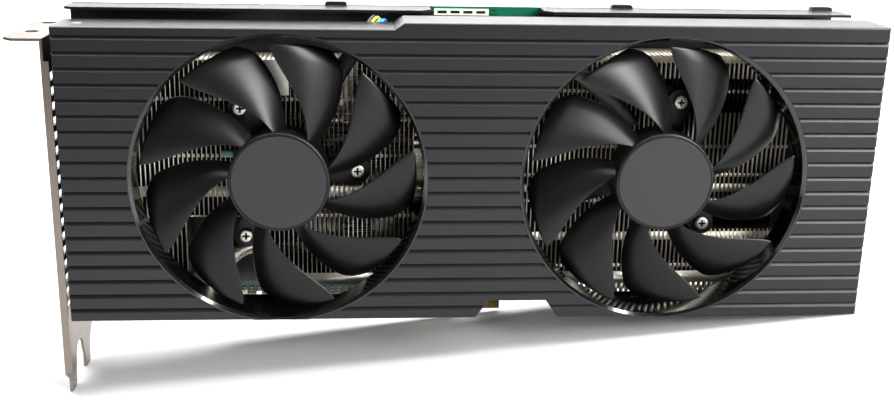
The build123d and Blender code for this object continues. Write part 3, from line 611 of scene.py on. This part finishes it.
def blade(turn):
    """One closed blade about the fan's axis, in mm: x right, y back, z up.

    Rows run from root to tip and columns round the section. The chord joins a leading and a
    trailing angle, both swept further back towards the tip; with c from -1 to 1 along it, the
    middle line bulges forward by camber times (1 - c * c), and each skin stands off it by the
    thickness times 0.2 + 0.3 * (1 - c * c). The last RIM_FADE of the span narrows as an
    ellipse does, to a thin rim, and the trailing corner is rounded from CORNER_START out.
    """
    u = np.sin(np.linspace(0, np.pi / 2, SPAN_POINTS))[:, None]
    v = (np.arange(LOOP_POINTS) + 0.5)[None, :] * 2 * np.pi / LOOP_POINTS
    radius = BLADE_ROOT + (BLADE_TIP - BLADE_ROOT) * u
    along = (radius - BLADE_ROOT) / (TAPER_END - BLADE_ROOT)
    inward = np.clip((BLADE_TIP - radius) / (BLADE_TIP - HUB_RADIUS), 0, None)
    corner = np.clip((radius - CORNER_START) / (BLADE_TIP - CORNER_START), 0, None)
    lead = -37.0 * inward ** 1.6
    trail = -30.0 - 27.0 * inward + 6.0 * inward ** 2 + 5.0 * corner ** 2
    lead_depth, trail_depth = 1.6 + 0.4 * along, 6.8 + 3.4 * along
    c = np.cos(v)
    part = (1 - c) / 2
    angle = np.radians(turn + lead + (trail - lead) * part)
    camber = CAMBER * np.radians(lead - trail) / 2 * radius
    fade = np.sqrt(np.clip((BLADE_TIP - radius) / RIM_FADE, 0.02, 1))
    skin = BLADE_THICKNESS * (1 - 0.3 * along) * (0.2 + 0.3 * (1 - c * c)) * fade
    side = np.clip(np.sin(v) * 4, -1, 1)
    depth = lead_depth + (trail_depth - lead_depth) * part - camber * (1 - c * c) - skin * side
    points = np.stack([radius * np.cos(angle), depth, radius * np.sin(angle)], axis=-1)
    return points.reshape(-1, 3), tube_quads(SPAN_POINTS, LOOP_POINTS)


print("one blade has", SPAN_POINTS * LOOP_POINTS, "points")

# %% [markdown]
# ## Turned shapes, and welding
# The hub is a turned shape: a profile of radius and depth carried round the fan's axis. Where
# the profile meets the axis its points fall together, so the mesh is welded there, and then
# every face is turned outwards. Blender tells inside from outside by the order of a face's
# corners, and a face turned in looks wrong in a bump or a glass. The shading is then smooth,
# except across edges sharper than SHARP_DEGREES.


# %% Hub and rotor
SHARP_DEGREES, WELD_MM = 35, 0.001


def turned(profile, segments):
    """A profile of (radius, depth) carried round the y axis: (r cos a, depth, r sin a)."""
    radius, depth = np.array(profile, float).T
    angle = np.linspace(0, 2 * np.pi, segments, endpoint=False)[:, None]
    points = np.stack([radius * np.cos(angle), depth + 0 * angle, radius * np.sin(angle)],
                      axis=-1)
    return points.reshape(-1, 3), grid_quads(segments, len(profile), wrap_rows=True)


def weld(piece):
    """Merges points that fall together, drops empty faces and turns the rest outwards."""
    shape = bmesh.new()
    shape.from_mesh(piece.data)
    bmesh.ops.remove_doubles(shape, verts=shape.verts, dist=WELD_MM * MM)
    bmesh.ops.recalc_face_normals(shape, faces=shape.faces)
    shape.to_mesh(piece.data)
    shape.free()
    piece.data.shade_smooth()
    piece.data.set_sharp_from_angle(angle=math.radians(SHARP_DEGREES))


HUB_SEGMENTS = 128
EDGE_ROUND = 0.7
ROUND = [(HUB_RADIUS - EDGE_ROUND + EDGE_ROUND * math.sin(t), 0.1 - EDGE_ROUND * math.cos(t))
         for t in np.linspace(0, np.pi / 2, 9)]
HUB_PROFILE = ([(0, -0.3), (15.1, -0.3), (15.3, -0.34), (15.35, -0.6)] + ROUND
               + [(16.3, 11.0), (15.1, 11.0), (15.1, 1.1), (3.2, 1.1), (3.2, 3.6), (1.5, 3.6),
                  (1.5, 0.6), (0, 0.6)])


def rotor(side):
    """The hub and its blades, moved to the fan's axis."""
    turns = [FIRST_BLADE[side] + 360 / BLADES * k for k in range(BLADES)]
    points, quads = merge(turned(HUB_PROFILE, HUB_SEGMENTS), *[blade(turn) for turn in turns])
    centre = np.array([fan_axis[side].x, shroud_front, fan_axis[side].z])
    piece = mesh_piece(f"{side}_fan_rotor", points * MM + centre, quads, f"{side}_fan")
    weld(piece)
    dress(piece, black_pbt)
    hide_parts(f"{side}_rotor")
    return piece


for side in SIDES:
    print(side, "rotor faces:", len(rotor(side).data.polygons))

# %% [markdown]
# ## The fins
# The heat sink is two stacks of thin fins, about 140 in all. Each is stamped from strip, and its
# edges are folded over so that every fold just reaches the next fin: that sets the spacing, and
# from the front the folds line up into pale ribbed bands and rows of bright dots. Some heights
# are stamped deeper, so their edges sit back in the fins' painted shade and look dark, and the
# posts under the fans pass through round clearings. A fin is only a few flat boxes, and numpy
# turns the whole list of them into one mesh at once.

# %% Fin sizes
FIN_PITCH = 1.55
FIN_SHEET = 0.3
FOLD_REACH = 1.43
POST_CIRCLE, POST_ROOM = 25.0, 3.2
POST_ANGLE = {"left": 1.0, "right": 74.0}
POCKET = (-87.8, -65.8, 58.5)
BAND_ROWS = {"left": [(65.5, 69.0)], "right": [(49.8, 52.6), (67.0, 69.8)]}
DOT_ROWS = {"left": [58.2, 79.0, 98.0], "right": [39.8, 63.4, 72.4, 82.4, 101.4]}
RECESS_ROWS = {"left": [(60.0, 64.0, -13.0)], "right": [(53.4, 62.6, 84.0), (94.6, 106.2, 66.0)]}
RECESS_DEPTH, FOLD_DEPTH = 7.0, 0.4
DOT_HEIGHT, DOT_REACH = 1.1, 1.0
SHORTEST, THINNEST = 0.5, 0.05
POST_TURNS = [(fan_axis[side] / MM, math.radians(POST_ANGLE[side] + 120 * k))
              for side in SIDES for k in range(3)]
FAN_POSTS = [(centre.x + POST_CIRCLE * math.cos(turn), centre.z + POST_CIRCLE * math.sin(turn))
             for centre, turn in POST_TURNS]


def open_spans(x, bottom, top):
    """The heights where a fin at x may stand, leaving a circle of room about each post."""
    spans = [(bottom, top)]
    for post_x, post_z in FAN_POSTS:
        off = abs(x + FIN_PITCH / 2 - post_x) - FIN_PITCH / 2
        if off < POST_ROOM:
            half = math.sqrt(POST_ROOM ** 2 - max(off, 0) ** 2)
            spans = [piece for a, b in spans
                     for piece in ((a, min(b, post_z - half)), (max(a, post_z + half), b))
                     if piece[1] - piece[0] > SHORTEST]
    return spans


def fin_boxes(side, x, y0, y1, z0, z1):
    """One fin: its upright sheets, the folds at its foot and head, and the stamped rows."""
    bottom = POCKET[2] if POCKET[0] < x < POCKET[1] else z0
    spans = open_spans(x, bottom, z1)
    rows = []
    for a, b in spans:
        for c, d, start in RECESS_ROWS[side]:
            c, d = max(c, a), min(d, b)
            if c < d and x > start:
                rows += [(x, x + FIN_SHEET, y0, y1, a, c),
                         (x, x + FIN_SHEET, y0 + RECESS_DEPTH, y1, c, d)]
                a = d
        rows.append((x, x + FIN_SHEET, y0, y1, a, b))
    rows += [(x, x + FOLD_REACH, y0, y1, bottom, bottom + FIN_SHEET),
             (x, x + FOLD_REACH, y0, y1, z1 - FIN_SHEET, z1)]
    folds = [(a, b, FOLD_REACH) for a, b in BAND_ROWS[side]]
    folds += [(z, z + DOT_HEIGHT, DOT_REACH) for z in DOT_ROWS[side]]
    rows += [(x + FIN_SHEET, x + reach, y0, y0 + FOLD_DEPTH, a, b) for a, b, reach in folds
             if a > bottom and any(s <= a and b <= t for s, t in spans)]
    return [row for row in rows if row[5] - row[4] > THINNEST]


def fin_stack(side):
    """All of one side's fins as a single mesh."""
    x0, y0, z0 = (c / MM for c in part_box(f"{side}_fin_stack")[0])
    x1, y1, z1 = (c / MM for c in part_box(f"{side}_fin_stack")[1])
    count = round((x1 - x0 + FIN_PITCH - FOLD_REACH) / FIN_PITCH)
    starts = x0 + FIN_PITCH * np.arange(count)
    rows = np.array([row for x in starts for row in fin_boxes(side, x, y0, y1, z0, z1)]) * MM
    points, quads = boxes(rows[:, 0::2], rows[:, 1::2])
    piece = mesh_piece(f"{side}_folded_fins", points, quads, "card")
    dress(piece, nickel_fin)
    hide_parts(f"{side}_fin_stack")
    return count, piece


for side in SIDES:
    count, piece = fin_stack(side)
    print(side, "fins:", count, "faces:", len(piece.data.polygons))

# %% [markdown]
# ## The strip under the fins
# A smooth pale strip ties the fins' feet together, and under the right fan a comb of short feet
# hangs below it. The strip is one box a side; the comb is a box every COMB_PITCH.

# %% Foot strips and comb
fin_front = low("left_fin_stack", "y") / MM
FOOT_STRIPS = {"left": (-64.0, -10.5), "right": (-1.0, 117.0)}
STRIP_BOTTOM, STRIP_TOP, STRIP_PROUD, STRIP_GAP = 34.2, 38.3, 0.5, 0.05
COMB_BOTTOM, COMB_PITCH, COMB_FOOT = 30.6, 1.9, (1.25, 0.5, 3.8)
lows = [(x0, fin_front - STRIP_PROUD, STRIP_BOTTOM) for x0, _ in FOOT_STRIPS.values()]
highs = [(x1, fin_front - STRIP_GAP, STRIP_TOP) for _, x1 in FOOT_STRIPS.values()]
comb_x = np.arange(FOOT_STRIPS["right"][0] + 0.4, FOOT_STRIPS["right"][1] - 1.0, COMB_PITCH)
comb = np.stack([comb_x, 0 * comb_x + fin_front, 0 * comb_x + COMB_BOTTOM], axis=-1)
points, quads = boxes(np.vstack([lows, comb]) * MM, np.vstack([highs, comb + COMB_FOOT]) * MM)
foot_strips = mesh_piece("fin_foot_strips", points, quads, "card")
dress(foot_strips, pale_nickel)
print("comb feet:", len(comb_x))

# %% [markdown]
# ## Wires
# Each fan's lead is four thin wires, one colour each, held in a flat sleeve as they cross the
# fins. They leave it at the top, arch over and bend back to a plug on the board. A wire is a
# circle carried along a smooth line. The line goes through six points given in millimetres,
# rounded by Catmull-Rom: between two points it is a cubic that leaves each one parallel to the
# line between its neighbours.


# %% Tubes
def smooth_line(points, steps=10):
    """Catmull-Rom through the points: 0.5 * (2b + (c-a)t + (2a-5b+4c-d)t2 + (3b-a-3c+d)t3)."""
    p = np.array(points, float)
    p = np.vstack([2 * p[0] - p[1], p, 2 * p[-1] - p[-2]])
    a, b, c, d = (p[k:len(p) - 3 + k][:, None, :] for k in range(4))
    t = np.linspace(0, 1, steps, endpoint=False)[None, :, None]
    line = 0.5 * (2 * b + (c - a) * t + (2 * a - 5 * b + 4 * c - d) * t ** 2
                  + (3 * b - a - 3 * c + d) * t ** 3)
    return np.vstack([line.reshape(-1, 3), p[-2]])


def tube(line, wide, thick, sides=10, across=(1.0, 0.0, 0.2)):
    """An ellipse carried along a line, square to its direction, its width kept along across."""
    way = np.gradient(line, axis=0)
    way /= np.linalg.norm(way, axis=1, keepdims=True)
    first = across - way * (way @ np.array(across))[:, None]
    first /= np.linalg.norm(first, axis=1, keepdims=True)
    second = np.cross(way, first)
    a = np.linspace(0, 2 * np.pi, sides, endpoint=False)[None, :, None]
    rings = line[:, None] + wide * np.cos(a) * first[:, None] + thick * np.sin(a) * second[:, None]
    return rings.reshape(-1, 3), tube_quads(len(line), sides)


def painted(piece, counts, materials):
    """Gives each run of faces its own material: counts says how many faces each run has."""
    dress(piece, *materials)
    piece.data.polygons.foreach_set("material_index", np.repeat(np.arange(len(counts)), counts))


LEAD_ROUTES = {
    "left": [(-47.3, -7.7, 91.0), (-41.0, -7.6, 101.5), (-34.6, -6.5, 111.6),
             (-28.4, -3.6, 120.0), (-23.9, 1.8, 124.4), (-23.3, 7.4, 116.6)],
    "right": [(60.2, -7.7, 91.0), (50.0, -7.6, 101.5), (36.0, -6.5, 111.6),
              (19.0, -3.4, 116.6), (13.2, 1.8, 117.9), (12.2, 7.4, 115.7)]}
SLEEVE_POINTS = {"left": 33, "right": 42}
LEAN = {"left": -0.35, "right": 0.35}
WIRE_RADIUS, WIRE_GAP, SWAY = 0.5, 1.15, 0.35
SLEEVE_HALF_WIDE, SLEEVE_HALF_THICK = 2.75, 0.95


def fan_wires(side):
    """Four wires side by side, each swaying by a sine of its own phase, with its ends held."""
    held_ends = np.array([0, 1, 1, 1, 1, 0])
    parts = []
    for k in range(4):
        shift = WIRE_GAP * (k - 1.5)
        sway = SWAY * np.sin(np.arange(6) * 1.7 + 2.1 * k) * held_ends
        moved = np.stack([shift + 0 * sway, sway, LEAN[side] * shift + 0.6 * sway], axis=-1)
        line = smooth_line(np.array(LEAD_ROUTES[side]) + moved) * MM
        parts.append(tube(line, WIRE_RADIUS * MM, WIRE_RADIUS * MM))
    piece = mesh_piece(f"{side}_fan_wires", *merge(*parts), "card")
    weld(piece)
    painted(piece, [len(quads) for _, quads in parts], list(wire_pvc.values()))
    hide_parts(f"{side}_fan_lead")
    return piece


def lead_sleeve(side):
    """The flat black sleeve that holds the four wires from the fan to the gap in the cover."""
    line = smooth_line(LEAD_ROUTES[side], 12)[:SLEEVE_POINTS[side]] * MM
    points, quads = tube(line, SLEEVE_HALF_WIDE * MM, SLEEVE_HALF_THICK * MM, 20,
                         (1.0, 0.0, LEAN[side]))
    piece = mesh_piece(f"{side}_lead_sleeve", points, quads, "card")
    weld(piece)
    dress(piece, black_sleeve)
    return piece


for side in SIDES:
    print(side, "wires:", len(fan_wires(side).data.polygons), "faces,",
          "sleeve:", len(lead_sleeve(side).data.polygons))

# %% [markdown]
# ## The small parts on the board
# A board carries hundreds of parts the size of a grain of rice: ceramic capacitors, which are
# tan, and resistors, which are black, each with a tinned end where it is soldered. They stand
# in neat groups, because each group feeds the chip on the other side. Every part is three
# small boxes, and a group is one row of numbers copied by numpy.


# %% Small parts
BODY_SHARE, END_PROUD = 0.6, 1.06


def small_parts(places, size, upright, y0, rise):
    """Bodies and tinned ends of many parts: each place is (x, z), each size (long, wide) mm.

    The body fills the middle BODY_SHARE of the length; the two ends stand a hair proud of it.
    """
    centres = np.insert(np.array(places, float), 1, 0.0, axis=1)
    half_long, half_wide = np.array(size) / 2
    ends = np.sort([y0, y0 + rise * END_PROUD])
    middle = np.sort([y0, y0 + rise])
    parts = []
    for a, b, (y_low, y_high) in ((-BODY_SHARE, BODY_SHARE, middle), (-1.0, -BODY_SHARE, ends),
                                  (BODY_SHARE, 1.0, ends)):
        corners = np.array([[a * half_long, y_low, -half_wide],
                            [b * half_long, y_high, half_wide]])
        if upright:
            corners = corners[:, ::-1]
        parts.append(boxes((centres + corners[0]) * MM, (centres + corners[1]) * MM))
    return parts


def rows_of(x, z, columns, rows, step_x, step_z):
    """The places of a block of parts, from its low left corner."""
    return [(x + step_x * i, z + step_z * k) for i in range(columns) for k in range(rows)]


def parts_piece(name, groups, body_material):
    """One mesh of several groups: bodies in one finish, ends in tin."""
    made = [small_parts(*group) for group in groups]
    bodies = [parts[0] for parts in made]
    ends = [part for parts in made for part in parts[1:]]
    piece = mesh_piece(name, *merge(*bodies, *ends), "card")
    painted(piece, [sum(len(f) for _, f in bodies), sum(len(f) for _, f in ends)],
            [body_material, bright_tin])
    return piece


def middle_mm(node, axis):
    """The middle of a node's box along one axis, in mm."""
    return (low(node, axis) + high(node, axis)) / 2 / MM


chip_x, chip_z = middle_mm("gpu_die", "x"), middle_mm("gpu_die", "z")
power_x = middle_mm("power_stages", "x")
foot = low("circuit_board", "z") / MM
CAP, BIG_CAP, RESISTOR = (1.6, 0.8), (3.2, 2.5), (1.0, 0.5)
CAP_RISE, BIG_CAP_RISE, RESISTOR_RISE = 0.8, 1.6, 0.4
BESIDE_CHIP = ((-30, -12), (-30, 10), (24, -12), (24, 10), (-12, 27), (10, 27))
RESISTOR_CORNERS = ((-112, 40), (-112, 62), (-108, 84), (-100, 104), (66, 44), (70, 84),
                    (100, 42), (108, 84), (30, 110), (-60, 30), (58, 112), (-14, 110))
cap_groups = [
    (rows_of(chip_x - 6.4, chip_z - 6.4, 5, 5, 3.2, 3.2), CAP, True, back_mm, CAP_RISE),
    *[(rows_of(chip_x + x, chip_z + z, 4, 3, 2.4, 2.2), CAP, False, back_mm, CAP_RISE)
      for x, z in BESIDE_CHIP],
    (rows_of(power_x - 5.0, 42.0, 4, 8, 3.4, 8.6), BIG_CAP, True, back_mm, BIG_CAP_RISE),
    (rows_of(-77.0, foot + 9.6, 28, 1, 2.6, 1), CAP, True, back_mm, CAP_RISE),
    (rows_of(-77.0, foot + 9.4, 28, 1, 2.6, 1), CAP, True, front_mm, -CAP_RISE),
    (rows_of(84.0, 60.0, 5, 3, 4.2, 5.0), BIG_CAP, False, back_mm, BIG_CAP_RISE)]
resistor_groups = [
    (rows_of(x, z, 5, 4, 1.9, 1.3), RESISTOR, False, back_mm, RESISTOR_RISE)
    for x, z in RESISTOR_CORNERS]
ceramics = parts_piece("ceramic_capacitors", cap_groups, ceramic)
resistors = parts_piece("thick_film_resistors", resistor_groups, alumina)
print("small parts, faces:", len(ceramics.data.polygons), len(resistors.data.polygons))

# %% [markdown]
# ## Solder joints on the back
# Sockets and headers have pins that pass through the board and are soldered behind it. Each
# joint is a small bright cone with a round top, a turned shape again, copied to every pin.

# %% Solder joints
JOINT_PROFILE = [(0, 1.15), (0.3, 1.1), (0.42, 0.7), (0.62, 0.25), (1.0, 0.0), (0, -0.1)]
JOINT_SEGMENTS = 12
power_pins = [(x, z) for x in (127.0, 131.2) for z in (98.0, 102.2, 106.4, 110.6)]
display_pins = [(x, z + d) for z in (60.0, 81.5, 103.0) for x in (-116.5, -113.9)
                for d in (-6.6, 6.6)]
fan_pins = [(x + 2.0 * k, 116.0) for x in (-26.3, 9.2) for k in range(4)]


def solder_joints(pins):
    """The turned cone copied to every pin's place by adding one offset to all its points."""
    points, quads = turned(JOINT_PROFILE, JOINT_SEGMENTS)
    offsets = np.insert(np.array(pins), 1, back_mm, axis=1)
    every = (points + offsets[:, None, :]).reshape(-1, 3)
    faces = (quads + len(points) * np.arange(len(pins))[:, None, None]).reshape(-1, 4)
    piece = mesh_piece("solder_joints", every * MM, faces, "card")
    weld(piece)
    dress(piece, bright_tin)
    return piece


joints = solder_joints(power_pins + display_pins + fan_pins)
print("solder joints:", len(joints.data.polygons), "faces")

# %% [markdown]
# ## Film, pads and a sleeve
# A few scraps finish the card: a frosted film seal on the cover's top edge, a blank label on the
# back of the board, a white pad above the contacts, a short black skirt under the end of the top
# ledge that darkens the gap there as painted shade, and a pale blue sleeve on the wires that lie
# on the fins. Each is a thin box whose edges a Bevel modifier rounds.


# %% Film, pads and sleeve
def scrap(name, low_corner, high_corner, material, slot, round_mm):
    """A box between two corners, in mm, with rounded edges."""
    points, quads = boxes([np.array(low_corner) * MM], [np.array(high_corner) * MM])
    piece = mesh_piece(name, points, quads, "card")
    bevel = piece.modifiers.new("rounded", "BEVEL")
    bevel.width, bevel.segments = round_mm * MM, 3
    dress(piece, material)


FLANGE_TOP = 123.8
SCRAPS = {
    "top_edge_seal": ((-119.3, -13.6, FLANGE_TOP), (-116.6, -9.8, FLANGE_TOP + 0.08),
                      frosted_film, "header_ivory", 0.02),
    "back_label": ((-72.0, back_mm, 113.0), (-42.0, back_mm + 0.12, 121.5),
                   white_film, "header_ivory", 0.03),
    "white_pad": ((-73.4, front_mm - 0.8, 20.2), (-70.8, front_mm, 25.0),
                  white_silicone, "pad_silicone", 0.15),
    # painted shade: a black sheet behind the gap under the top ledge, where shade falls
    "ledge_painted_shade_skirt": ((-125.6, 12.9, 118.8), (-110.5, 13.4, 126.0),
                    black_enamel, "frame_aluminium", 0.05),
    "wire_sleeve": ((-75.6, -6.3, 79.4), (-71.8, -4.3, 81.6),
                    pale_sleeve, "wire_pvc", 0.4)}
for name, details in SCRAPS.items():
    scrap(name, *details)
print("scraps:", len(SCRAPS))

# %% [markdown]
# ## Floor and light
# The card rests on its bracket's tongue tips and on the tail's lower front corner, so the floor
# is tilted under it by the slope between those two. The floor turns up behind into a backdrop,
# so no horizon shows. Light comes from one very wide softbox overhead, a narrow beam from
# the right front, a thin strip high at the right that draws a glint along the openings' rims, a
# weak low box at the left, and a wide one that washes the backdrop, with a pale world to fill
# the shadows. Wide lights matter here: black gloss shows nothing but what it mirrors. The world
# is near white to the camera and ten times dimmer as a light, so the paper's edge is faint.

# %% Floor
TONGUE_X = -127.4 * MM
FLOOR_RISE = low("shroud", "z") / (high("shroud", "x") - TONGUE_X)
FLOOR_FRONT, BEND_START, BEND_SIZE, WALL_TOP, HALF_WIDE = -0.7, 1.2, 0.8, 3.0, 3.0
BEND_POINTS, FLOOR_ROWS = 24, 13


def floor_sweep():
    """A strip flat to the front and curved up behind, leaned so that z gains rise * x."""
    t = np.linspace(0, np.pi / 2, BEND_POINTS)
    flat = np.array([(FLOOR_FRONT, 0.0), (0.0, 0.0), (1.0, 0.0)])
    bend = np.stack([BEND_START + BEND_SIZE * np.sin(t), BEND_SIZE * (1 - np.cos(t))], axis=-1)
    y, z = np.vstack([flat, bend, [(BEND_START + BEND_SIZE, WALL_TOP)]]).T
    x = np.linspace(-HALF_WIDE, HALF_WIDE, FLOOR_ROWS)[:, None]
    points = np.stack([x + 0 * y, y + 0 * x, z + FLOOR_RISE * (x - TONGUE_X)], axis=-1)
    return points.reshape(-1, 3), grid_quads(FLOOR_ROWS, len(y))


floor = mesh_piece("floor", *floor_sweep())
dress(floor, plain("pale_grey_backdrop_paper", "#bcbcbc", 0.9))
floor.data.shade_smooth()
print("floor leans", round(math.degrees(math.atan(FLOOR_RISE)), 2), "degrees")


# %% Lights
def softbox(name, place, aim, size, watts, spread):
    """A rectangular area light at a place, its face turned to the point aimed at."""
    light = bpy.data.lights.new(name, "AREA")
    light.shape = "RECTANGLE"
    light.size, light.size_y = size
    light.energy, light.spread = watts, math.radians(spread)
    lamp = bpy.data.objects.new(name, light)
    way = Vector(aim) - Vector(place)
    lamp.matrix_world = way.to_track_quat("-Z", "Y").to_matrix().to_4x4()
    lamp.matrix_world.translation = place
    bpy.context.collection.objects.link(lamp)


CARD_MIDDLE, BACKDROP_FOOT = (0.0, 0.0, 0.07), (0.0, 1.7, 0.1)
LIGHTS = {
    "overhead": ((0.0, 0.2, 1.1), CARD_MIDDLE, (1.8, 1.2), 62.0, 180),
    "right_front": ((0.8, -0.9, 0.6), CARD_MIDDLE, (0.5, 0.7), 4.2, 60),
    "rim_strip": ((0.7, -0.45, 1.05), CARD_MIDDLE, (0.6, 0.1), 8.0, 180),
    "left_low": ((-0.9, -0.7, 0.3), CARD_MIDDLE, (0.4, 0.5), 0.5, 180),
    "backdrop_wash": ((0.0, 0.9, 1.3), BACKDROP_FOOT, (2.6, 0.6), 80.0, 100)}
for name, details in LIGHTS.items():
    softbox(name, *details)
print("lights:", ", ".join(LIGHTS))

# %% World
WORLD_AS_LIGHT, WORLD_SEEN = 0.1, 1.0
world = bpy.data.worlds.new("studio")
world.use_nodes = True
fill = world.node_tree.nodes["Background"]
fill.inputs["Color"].default_value = linear("#f7f8fa")
seen = add(world, "ShaderNodeLightPath").outputs["Is Camera Ray"]
level = add(world, "ShaderNodeMapRange",
            {"Value": seen, "To Min": WORLD_AS_LIGHT, "To Max": WORLD_SEEN})
world.node_tree.links.new(level.outputs["Result"], fill.inputs["Strength"])
bpy.context.scene.world = world
bpy.context.scene.view_settings.view_transform = "Standard"
print("world: as a light", WORLD_AS_LIGHT, "and to the camera", WORLD_SEEN)
